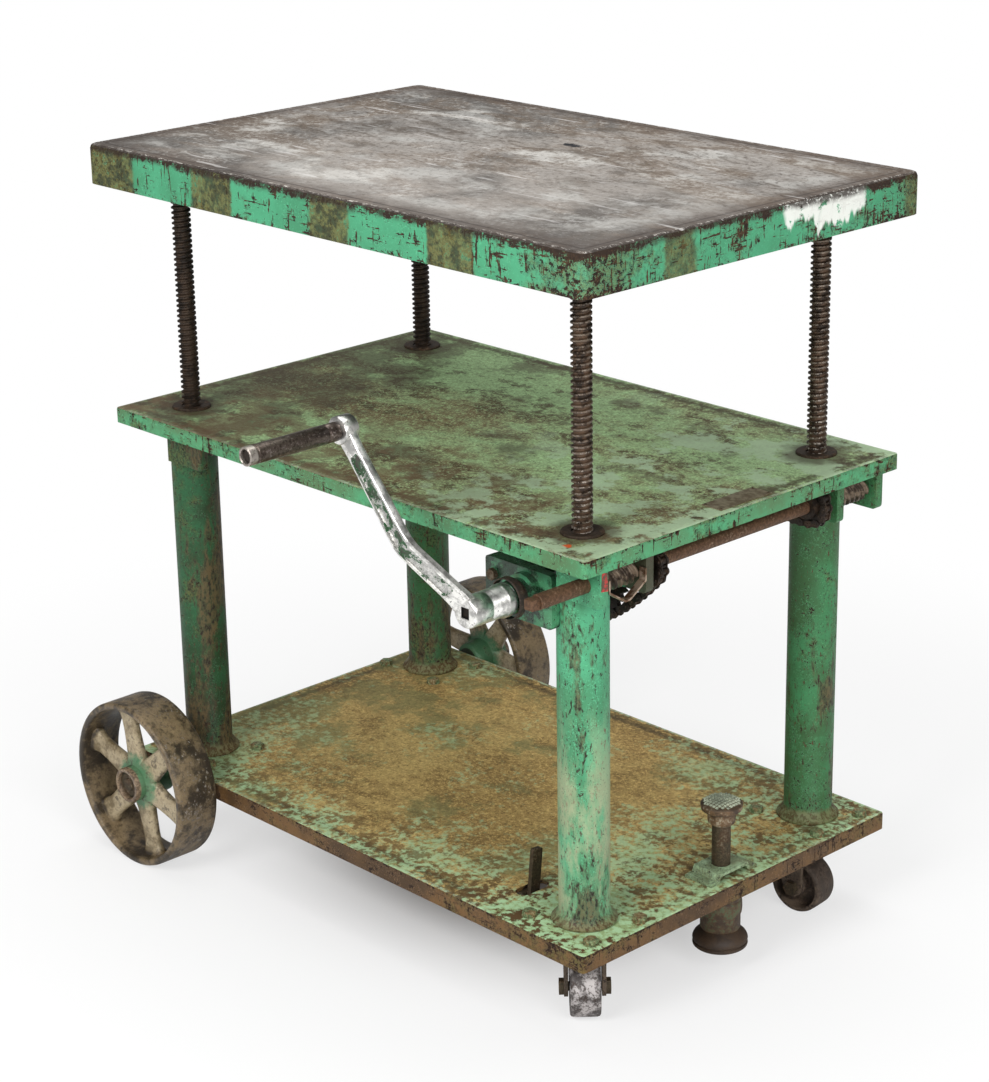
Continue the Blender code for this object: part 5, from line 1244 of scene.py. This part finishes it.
def build_shafts():
    """Cross shafts, worms, gears and sprockets of the lift."""
    for name, axis, square in (("right", RIGHT_AXIS, True), ("left", LEFT_AXIS, False)):
        low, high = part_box(f"cross_shaft_{name}")
        low_y, high_y = low.y - CENTRE.y, high.y - CENTRE.y
        spot = Vector((axis.x, CENTRE.y, axis.z))
        form = Form()
        start = low_y + (SQUARE_LONG if square else 0.0)
        form.rod(SHAFT_RADIUS, start, high_y, "Y", spot, 40)
        if square:
            half = SQUARE / 2
            outline = rectangle((-half, -half), (half, half))
            form.slab(outline, low_y, start + 0.001, facing("Y", spot), edge=0.0008)
        form.piece(
            f"cross_shaft_{name}_bar", f"shaft_{name}", ["shaft"], [f"cross_shaft_{name}"])
        dressed(f"link_sprocket_{name}", "chain", 0.0004)
    dressed("drive_sprocket", "chain", 0.0004)
    for number in LEGS:
        dressed(f"nut_gear_{number}", "bush", 0.0003)
        build_worm(number)


CHAIN_INNER = 0.0038
PLATE = 0.0014
ROLLER = 0.0038
CRANK_TEETH = 30
SMALL_TEETH = 12


def link_plate(half, length):
    """A link plate's outline with round ends and a waist."""
    points = arc((length, 0), half, -90, 90, 8)
    points.append((length / 2, half * 0.70))
    points += arc((0, 0), half, 90, 270, 8)
    points.append((length / 2, -half * 0.70))
    return points


def chain(name, pins, y, body, node):
    """A roller chain on its pins: inner and outer plates, rollers and riveted pins."""
    form = Form()
    far = CHAIN_INNER + 2 * PLATE + 0.0009
    for number, pin in enumerate(pins):
        after = pins[(number + 1) % len(pins)]
        one = Vector((pin[0], y, pin[1]))
        two = Vector((after[0], y, after[1]))
        length = (two - one).length
        out = (two - one) / length
        across = Vector((-out.z, 0, out.x))
        matrix = lying(out, across, out.cross(across), one)
        inner = number % 2 == 1
        low = CHAIN_INNER + (0 if inner else PLATE + 0.00015)
        for way in (-1, 1):
            ends = sorted((way * low, way * (low + PLATE)))
            form.slab(link_plate(0.0056 if inner else 0.0052, length), *ends, matrix, edge=0.00025)
        form.turned([(0.0017, -CHAIN_INNER), (ROLLER, -CHAIN_INNER + 0.0001), (ROLLER, CHAIN_INNER - 0.0001),
                     (0.0017, CHAIN_INNER)], "Y", one, 14)
        form.turned([(0, -far), (0.0015, -far), (0.0021, -far + 0.0006), (0.0021, far - 0.0006),
                     (0.0015, far), (0, far)], "Y", one, 10)
    form.piece(name, body, ["chain"], [node])


def seated(centre, radius, teeth, count, toward):
    """Pins seated in neighbouring gaps of a sprocket, about the way they face."""
    turns = [toward + (i - (count - 1) / 2) * 2 * math.pi / teeth for i in range(count)]
    return [(centre[0] + radius * math.cos(t), centre[1] + radius * math.sin(t)) for t in turns]


def hanging(start, end, sag):
    """The seven pins of a run between two sprockets."""
    points = []
    for i in range(1, 8):
        share = i / 8
        drop = 4 * sag * share * (1 - share)
        points.append((start[0] + (end[0] - start[0]) * share, start[1] + (end[1] - start[1]) * share - drop))
    return points


def build_chains():
    """The short chain from the crank and the long chain between the cross shafts."""
    pitch = sizes().chain_pitch
    large = pitch / (2 * math.sin(math.pi / CRANK_TEETH))
    small = pitch / (2 * math.sin(math.pi / SMALL_TEETH))
    one, two = (CRANK_AXIS.x, CRANK_AXIS.z), (RIGHT_AXIS.x, RIGHT_AXIS.z)
    lean = math.atan2(two[1] - one[1], two[0] - one[0])
    back = seated(one, large, CRANK_TEETH, 19, lean + math.pi)
    front = seated(two, small, SMALL_TEETH, 5, lean)
    pins = back + hanging(back[-1], front[0], 0.004) + front + hanging(front[-1], back[0], 0)
    chain("drive_chain_links", pins, middle("drive_chain").y, "frame", "drive_chain")

    far, near = LEFT_AXIS.x, RIGHT_AXIS.x
    run_length = near - far
    bend = math.pi * small
    total = 2 * run_length + 2 * bend
    count = 2 * round(total / pitch / 2)
    pins = []
    for i in range(count):
        along = total * i / count
        if along < run_length:
            pins.append((near - along, RIGHT_AXIS.z + small))
        elif along < run_length + bend:
            turn = math.pi / 2 + (along - run_length) / small
            pins.append((far + small * math.cos(turn), RIGHT_AXIS.z + small * math.sin(turn)))
        elif along < 2 * run_length + bend:
            pins.append((far + along - run_length - bend, RIGHT_AXIS.z - small))
        else:
            turn = -math.pi / 2 + (along - 2 * run_length - bend) / small
            pins.append((near + small * math.cos(turn), RIGHT_AXIS.z + small * math.sin(turn)))
    chain("link_chain_links", pins, middle("link_chain").y, "frame", "link_chain")


WHEEL_RADIUS = 0.1174
WHEEL_INNER = 0.288
WHEEL_WIDE = 0.064
HUB_END = 0.3555
SPOKE_STATIONS = (
    (0.021, 0.040, 0.026), (0.027, 0.038, 0.021), (0.032, 0.036, 0.0170), (0.040, 0.0345, 0.0145),
    (0.055, 0.0320, 0.0135), (0.075, 0.0295, 0.0130), (0.090, 0.0300, 0.0135), (0.098, 0.0340, 0.0155),
    (0.1025, 0.0390, 0.0190), (0.1062, 0.0470, 0.0230))


def add_spoke(form, centre, angle):
    """A cast spoke of rounded section, flared into the hub and the rim."""
    out, across = direction(angle)
    rows = []
    for reach, wide, thick in SPOKE_STATIONS:
        row = []
        for i in range(16):
            turn = 2 * math.pi * (i + 0.5) / 16
            cos, sin = math.cos(turn), math.sin(turn)
            w = wide / 2 * math.copysign(abs(cos) ** 0.45, cos)
            d = thick / 2 * math.copysign(abs(sin) ** 0.75, sin)
            row.append(centre + out * reach + across * w + Vector((0, d, 0)))
        rows.append(row)
    form.rows(rows, HERE, caps=True)


def build_wheels():
    """The spoked wheels, their axle, washers and saddles."""
    spot = Vector((AXLE.x, CENTRE.y, AXLE.z))
    near = WHEEL_INNER
    rim = mirrored([(0.1052, 0.008), (0.1070, 0.026), (0.1078, 0.0304), (0.1092, 0.0320), (0.1140, 0.0320),
                    (0.1166, 0.0308), (WHEEL_RADIUS, 0.028)], (0.1045, 0))
    hub = [(0.0098, near + 0.0015), (0.0225, near + 0.0015), (0.0245, near + 0.0035), (0.0252, near + 0.012),
           (0.0265, near + 0.024), (0.0270, near + 0.032), (0.0262, near + 0.040), (0.0250, near + 0.052),
           (0.0248, HUB_END - 0.0025), (0.0235, HUB_END - 0.0002), (0.0200, HUB_END - 0.0002),
           (0.0190, HUB_END - 0.0012), (0.0188, HUB_END - 0.008), (0.0098, HUB_END - 0.008),
           (0.0098, near + 0.0015)]
    for number, side, start in ((1, -1, 42), (2, 1, 55)):
        form = Form()
        form.turned([(r, side * (near + WHEEL_WIDE / 2 + a)) for r, a in rim], "Y", spot, 96)
        form.turned([(r, side * a) for r, a in hub], "Y", spot, 64)
        centre = spot + Vector((0, side * (near + 0.040), 0))
        for spoke in range(6):
            add_spoke(form, centre, math.radians(start + 60 * spoke))
        form.piece(
            f"spoked_wheel_{number}", f"wheel_{number}", ["wheel"], [f"big_wheel_{number}"], 50)
        dressed(f"axle_washer_{number}", "bolt", 0.0004)
        dressed(f"axle_saddle_{number}", "greasy", 0.0006)
    form = Form()
    low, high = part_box("wheel_axle")
    half = (high.y - low.y) / 2
    form.rod(SHAFT_RADIUS, -half, half, "Y", spot, 40, edge=0.0016)
    form.piece("wheel_axle_bar", "frame", ["bolt"], ["wheel_axle"])


def build_casters():
    """The casters' wheels, with finishes for their plates, forks and pins."""
    profile = mirrored([
        (0.0062, 0.0190), (0.0130, 0.0190), (0.0140, 0.0180), (0.0142, 0.0060), (0.0160, 0.0050),
        (0.0295, 0.0050), (0.0308, 0.0062), (0.0310, 0.0180), (0.0318, 0.0190), (0.0350, 0.0190),
        (0.0368, 0.0178), (0.0378, 0.0150), (0.0380, 0.0080)])
    for number, degrees, look in ((1, -43, "tread"), (2, 6, "wheel_dark")):
        angle = math.radians(degrees)
        out = Vector((math.cos(angle), math.sin(angle), 0))
        axle = Vector((-math.sin(angle), math.cos(angle), 0))
        matrix = lying(out, Vector((0, 0, 1)), axle, middle(f"caster_wheel_{number}"))
        form = Form()
        form.turned(profile, None, matrix, 64)
        form.piece(
            f"caster_{number}_roller", f"roller_{number}", [look], [f"caster_wheel_{number}"])
        dressed(f"caster_fork_{number}", "caster", 0.0010)
        dressed(f"caster_plate_{number}", "caster", 0.0008)
        dressed(f"caster_pin_{number}", "bolt", 0.0005)


BUTTON = 0.0268
BUTTON_RIM = 0.227
DOME = 0.0060
STUD_STEP = 0.0056
STUD_SHARE = 0.88


def button_height(x, y):
    """The height of the lock button's dome."""
    return BUTTON_RIM + DOME * math.sqrt(max(0.0, 1 - (x * x + y * y) / BUTTON ** 2))


def add_studs(form, spot):
    """The button's checkers: small cut-off pyramids on its dome."""
    step = STUD_STEP * STUD_SHARE
    half = STUD_STEP * 0.37
    corners = [(half, half), (-half, half), (-half, -half), (half, -half)]
    for i in range(-5, 6):
        for j in range(-5, 6):
            x, y = i * step, j * step
            if math.hypot(x, y) > BUTTON - 0.0028:
                continue
            base = [(x + a, y + b, button_height(x + a, y + b) - 0.0004) for a, b in corners]
            crown = [(x + a * 0.4, y + b * 0.4, button_height(x, y) + 0.0016) for a, b in corners]
            form.rows([base, crown], Matrix.Translation(spot), 1, caps=True)


def build_lock():
    """The floor lock: strap, barrel, stem, foot and the checkered button."""
    spot = Vector((LOCK.x, LOCK.y, 0))
    form = Form()
    turns = (0, 0.3, 0.6, 0.9, 1.15, 1.35, 1.5)
    dome = [(BUTTON * math.sin(t), BUTTON_RIM + DOME * math.cos(t)) for t in turns]
    form.turned(dome + [
        (BUTTON, BUTTON_RIM - 0.001), (BUTTON - 0.0008, 0.2212), (BUTTON - 0.003, 0.2192), (0.0190, 0.2188),
        (0.0179, 0.2175), (0.0177, 0.2060), (0.0170, 0.2030), (0.0150, 0.2008), (0, 0.2005)], "Z", spot, 64)
    add_studs(form, spot)
    form.piece("lock_button_checkered", "lock", ["lock", "studs"], ["lock_button"], 30)
    form = Form()
    low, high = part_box("lock_stem")
    form.rod(0.012, low.z, high.z, "Z", spot, 40)
    form.piece("lock_stem_bar", "lock", ["bolt"], ["lock_stem"])
    form = Form()
    top = top_of("lock_barrel")
    form.turned([(0.0123, top), (0.0262, top), (0.0262, 0.0975), (0.0270, 0.0965), (0.0276, 0.0930),
                 (0.0279, 0.0870), (0.0276, 0.0812), (0.0270, 0.0782), (0.0258, 0.0772), (0.0258, 0.0580),
                 (0.0248, 0.0562), (0.0123, 0.0562), (0.0123, top)], "Z", spot, 64)
    form.piece("lock_barrel_sleeve", "frame", ["lock"], ["lock_barrel"])
    form = Form()
    top = top_of("lock_foot")
    form.turned([
        (0, top), (0.0235, top), (0.0245, top - 0.0008), (0.0275, top - 0.0030), (0.0300, top - 0.0052),
        (0.0335, 0.0470), (0.0350, 0.0440), (0.0355, 0.0420), (0.0352, 0.0402), (0.0338, 0.0392),
        (0.0338, 0.0380), (0.0352, 0.0370), (0.0355, 0.0352), (0.0350, 0.0334), (0.0335, 0.0321),
        (0, 0.0320)], "Z", spot, 64)
    form.piece("lock_foot_pad", "lock", ["lock"], ["lock_foot"])
    dressed("lock_strap", "strap", 0.0012)
    dressed("toe_lever", "bolt", 0.0010)
    dressed("lever_bracket", "bolt", 0.0006)


def build_plate():
    """The bare plate by the middle deck's end, on four small rivets."""
    form = Form()
    outline = rectangle(at(*PLATE_LOW, 0), at(*PLATE_HIGH, 0))
    form.slab(outline, MID_TOP, MID_TOP + 0.0012, HERE, edge=0.0004)
    form.piece("bare_deck_plate", "frame", ["plate"])
    form = Form()
    inset = 0.0035
    for x in (PLATE_LOW[0] + inset, PLATE_HIGH[0] - inset):
        for y in (PLATE_LOW[1] + inset, PLATE_HIGH[1] - inset):
            form.turned([(0.0019, MID_TOP + 0.0011), (0.0016, MID_TOP + 0.0018), (0.0008, MID_TOP + 0.0022),
                         (0, MID_TOP + 0.0023)], "Z", at(x, y, 0), 16)
    form.piece("deck_plate_rivets", "frame", ["bolt"])


FLOOR_HALF = 8
# The camera fitted to points of the photograph: its place, and its axes as columns
CAMERA_PLACE = (2.46551, -2.31984, 1.67495)
CAMERA_AXES = ((0.68906183, -0.23144258, 0.68675187), (0.72452421, 0.24102866, -0.64573203),
               (-0.016077, 0.94251765, 0.3337694))


def area_light(name, place, aim, size, power):
    """A soft square lamp aimed at a point."""
    lamp = bpy.data.lights.new(name, "AREA")
    lamp.size = size
    lamp.energy = power
    made = bpy.data.objects.new(name, lamp)
    bpy.context.scene.collection.objects.link(made)
    made.location = place
    made.rotation_euler = (Vector(aim) - Vector(place)).to_track_quat("-Z", "Y").to_euler()
    return made


def build_floor():
    """A pale floor that keeps the cart's shadow, with a white glow for the camera that fades out under the
    cart as a painted soft shadow.
    """
    mesh = bpy.data.meshes.new("floor")
    corners = rectangle((-FLOOR_HALF, -FLOOR_HALF), (FLOOR_HALF, FLOOR_HALF))
    mesh.from_pydata([(x, y, 0) for x, y in corners], [], [(0, 1, 2, 3)])
    floor = bpy.data.objects.new("floor", mesh)
    bpy.context.scene.collection.objects.link(floor)
    f = Finish("pale_floor")
    f.set((0.86, 0.86, 0.86), 0.9, shine=0.0)
    seen = f.node("ShaderNodeLightPath", {}, {}, "Is Camera Ray")
    far = (f.x * f.x + f.y * f.y).math("SQRT")
    # The glow fades to nothing under the cart, a painted soft shadow, and rises to full white far out
    share = seen * (0.64 + far.step(0.6, 1.5) * 0.36) * far.step(0.05, 0.42)
    glow = f.node("ShaderNodeEmission", {}, {"Color": (1, 1, 1), "Strength": 1.0})
    blend = f.node("ShaderNodeMixShader", {}, {0: share, 1: Field(f, f.shader.outputs[0]), 2: glow})
    f.tree.links.new(blend.socket, f.tree.nodes["Material Output"].inputs["Surface"])
    mesh.materials.append(f.material)


def build_surround():
    """A soft surround, seen as white."""
    world = bpy.context.scene.world or bpy.data.worlds.new("surround")
    bpy.context.scene.world = world
    w = Finish("surround", world)
    seen = w.node("ShaderNodeLightPath", {}, {}, "Is Camera Ray")
    light = w.node("ShaderNodeBackground", {}, {"Color": (1, 1, 1), "Strength": 0.30 + seen * 0.70})
    w.node("ShaderNodeOutputWorld", {}, {"Surface": light}, None)


def build_camera():
    """The camera at the photograph's viewpoint."""
    data = bpy.data.cameras.new("camera")
    data.lens = sizes().camera_lens
    data.sensor_width = 36
    data.sensor_fit = "AUTO"
    camera = bpy.data.objects.new("camera", data)
    camera.matrix_world = Matrix.Translation(at(*CAMERA_PLACE)) @ Matrix(CAMERA_AXES).to_4x4()
    bpy.context.scene.collection.objects.link(camera)
    bpy.context.scene.camera = camera


def build_stage():
    """The floor, the soft lamps, the surround and the camera."""
    build_floor()
    aim = at(0, 0, 0.5)
    area_light("key_lamp", at(0.6, -3.5, 2.7), aim, 1.8, 112)
    area_light("side_lamp", at(3.3, -1.1, 1.9), aim, 1.9, 78)
    area_light("top_lamp", at(-0.4, 0.5, 3.6), aim, 2.4, 62)
    build_surround()
    build_camera()
    bpy.context.scene.view_settings.view_transform = "Standard"


# Operators and panel


class CART_OT_surfaces(bpy.types.Operator):
    """Finish the table and both decks"""

    bl_idname = "die_cart.surfaces"
    bl_label = "Table and Decks"

    def execute(self, context):
        build_surfaces()
        return {"FINISHED"}


class CART_OT_legs(bpy.types.Operator):
    """Make the legs with their feet and bearing plates"""

    bl_idname = "die_cart.legs"
    bl_label = "Legs"

    def execute(self, context):
        build_legs()
        return {"FINISHED"}


class CART_OT_bolts(bpy.types.Operator):
    """Make the deck bolts and the bracket's bolt"""

    bl_idname = "die_cart.bolts"
    bl_label = "Bolts"

    def execute(self, context):
        build_bolts()
        return {"FINISHED"}


class CART_OT_screws(bpy.types.Operator):
    """Make the threaded lifting screws and their bushes"""

    bl_idname = "die_cart.screws"
    bl_label = "Lifting Screws"

    def execute(self, context):
        build_screws()
        return {"FINISHED"}


class CART_OT_crank(bpy.types.Operator):
    """Make the crank, its spindle and its grip"""

    bl_idname = "die_cart.crank"
    bl_label = "Crank"

    def execute(self, context):
        build_crank()
        return {"FINISHED"}


class CART_OT_bracket(bpy.types.Operator):
    """Finish the crank's bracket, shaft, sprocket and guard"""

    bl_idname = "die_cart.bracket"
    bl_label = "Crank Bracket"

    def execute(self, context):
        build_bracket()
        return {"FINISHED"}


class CART_OT_shafts(bpy.types.Operator):
    """Make the cross shafts and worms and finish the gears"""

    bl_idname = "die_cart.shafts"
    bl_label = "Shafts and Worms"

    def execute(self, context):
        build_shafts()
        return {"FINISHED"}


class CART_OT_chains(bpy.types.Operator):
    """Make both roller chains link by link"""

    bl_idname = "die_cart.chains"
    bl_label = "Chains"

    def execute(self, context):
        build_chains()
        return {"FINISHED"}


class CART_OT_wheels(bpy.types.Operator):
    """Make the spoked wheels and their axle"""

    bl_idname = "die_cart.wheels"
    bl_label = "Spoked Wheels"

    def execute(self, context):
        build_wheels()
        return {"FINISHED"}


class CART_OT_casters(bpy.types.Operator):
    """Make the casters' wheels and finish their forks"""

    bl_idname = "die_cart.casters"
    bl_label = "Casters"

    def execute(self, context):
        build_casters()
        return {"FINISHED"}


class CART_OT_lock(bpy.types.Operator):
    """Make the floor lock and finish the toe lever"""

    bl_idname = "die_cart.lock"
    bl_label = "Floor Lock"

    def execute(self, context):
        build_lock()
        return {"FINISHED"}


class CART_OT_plate(bpy.types.Operator):
    """Make the bare plate on the middle deck"""

    bl_idname = "die_cart.plate"
    bl_label = "Deck Plate"

    def execute(self, context):
        build_plate()
        return {"FINISHED"}


class CART_OT_stage(bpy.types.Operator):
    """Set up the floor, the surround, the lamps and the camera"""

    bl_idname = "die_cart.stage"
    bl_label = "Stage"

    def execute(self, context):
        build_stage()
        return {"FINISHED"}


STEPS = (CART_OT_surfaces, CART_OT_legs, CART_OT_bolts, CART_OT_screws, CART_OT_crank, CART_OT_bracket,
         CART_OT_shafts, CART_OT_chains, CART_OT_wheels, CART_OT_casters, CART_OT_lock, CART_OT_plate,
         CART_OT_stage)


class CART_PT_tools(bpy.types.Panel):
    """Lists the steps that dress the cart"""

    bl_idname = "CART_PT_tools"
    bl_label = "Die Cart"
    bl_space_type = "VIEW_3D"
    bl_region_type = "UI"
    bl_category = "Die Cart"

    def draw(self, context):
        layout = self.layout
        for group in (context.scene.cart_sizes, context.scene.cart_colours):
            for name in group.__annotations__:
                layout.prop(group, name)
        for step in STEPS:
            layout.operator(step.bl_idname)


CLASSES = (CartColours, CartSizes, *STEPS, CART_PT_tools)


def register():
    """Registers the classes and the properties of the scene."""
    for each in CLASSES:
        bpy.utils.register_class(each)
    bpy.types.Scene.cart_colours = PointerProperty(type=CartColours)
    bpy.types.Scene.cart_sizes = PointerProperty(type=CartSizes)


def unregister():
    """Removes what register added."""
    del bpy.types.Scene.cart_sizes
    del bpy.types.Scene.cart_colours
    for each in reversed(CLASSES):
        bpy.utils.unregister_class(each)


def main():
    """Dresses the cart step by step."""
    register()
    for step in STEPS:
        getattr(bpy.ops.die_cart, step.bl_idname.split(".")[1])()
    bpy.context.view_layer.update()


if __name__ == "__main__":
    main()
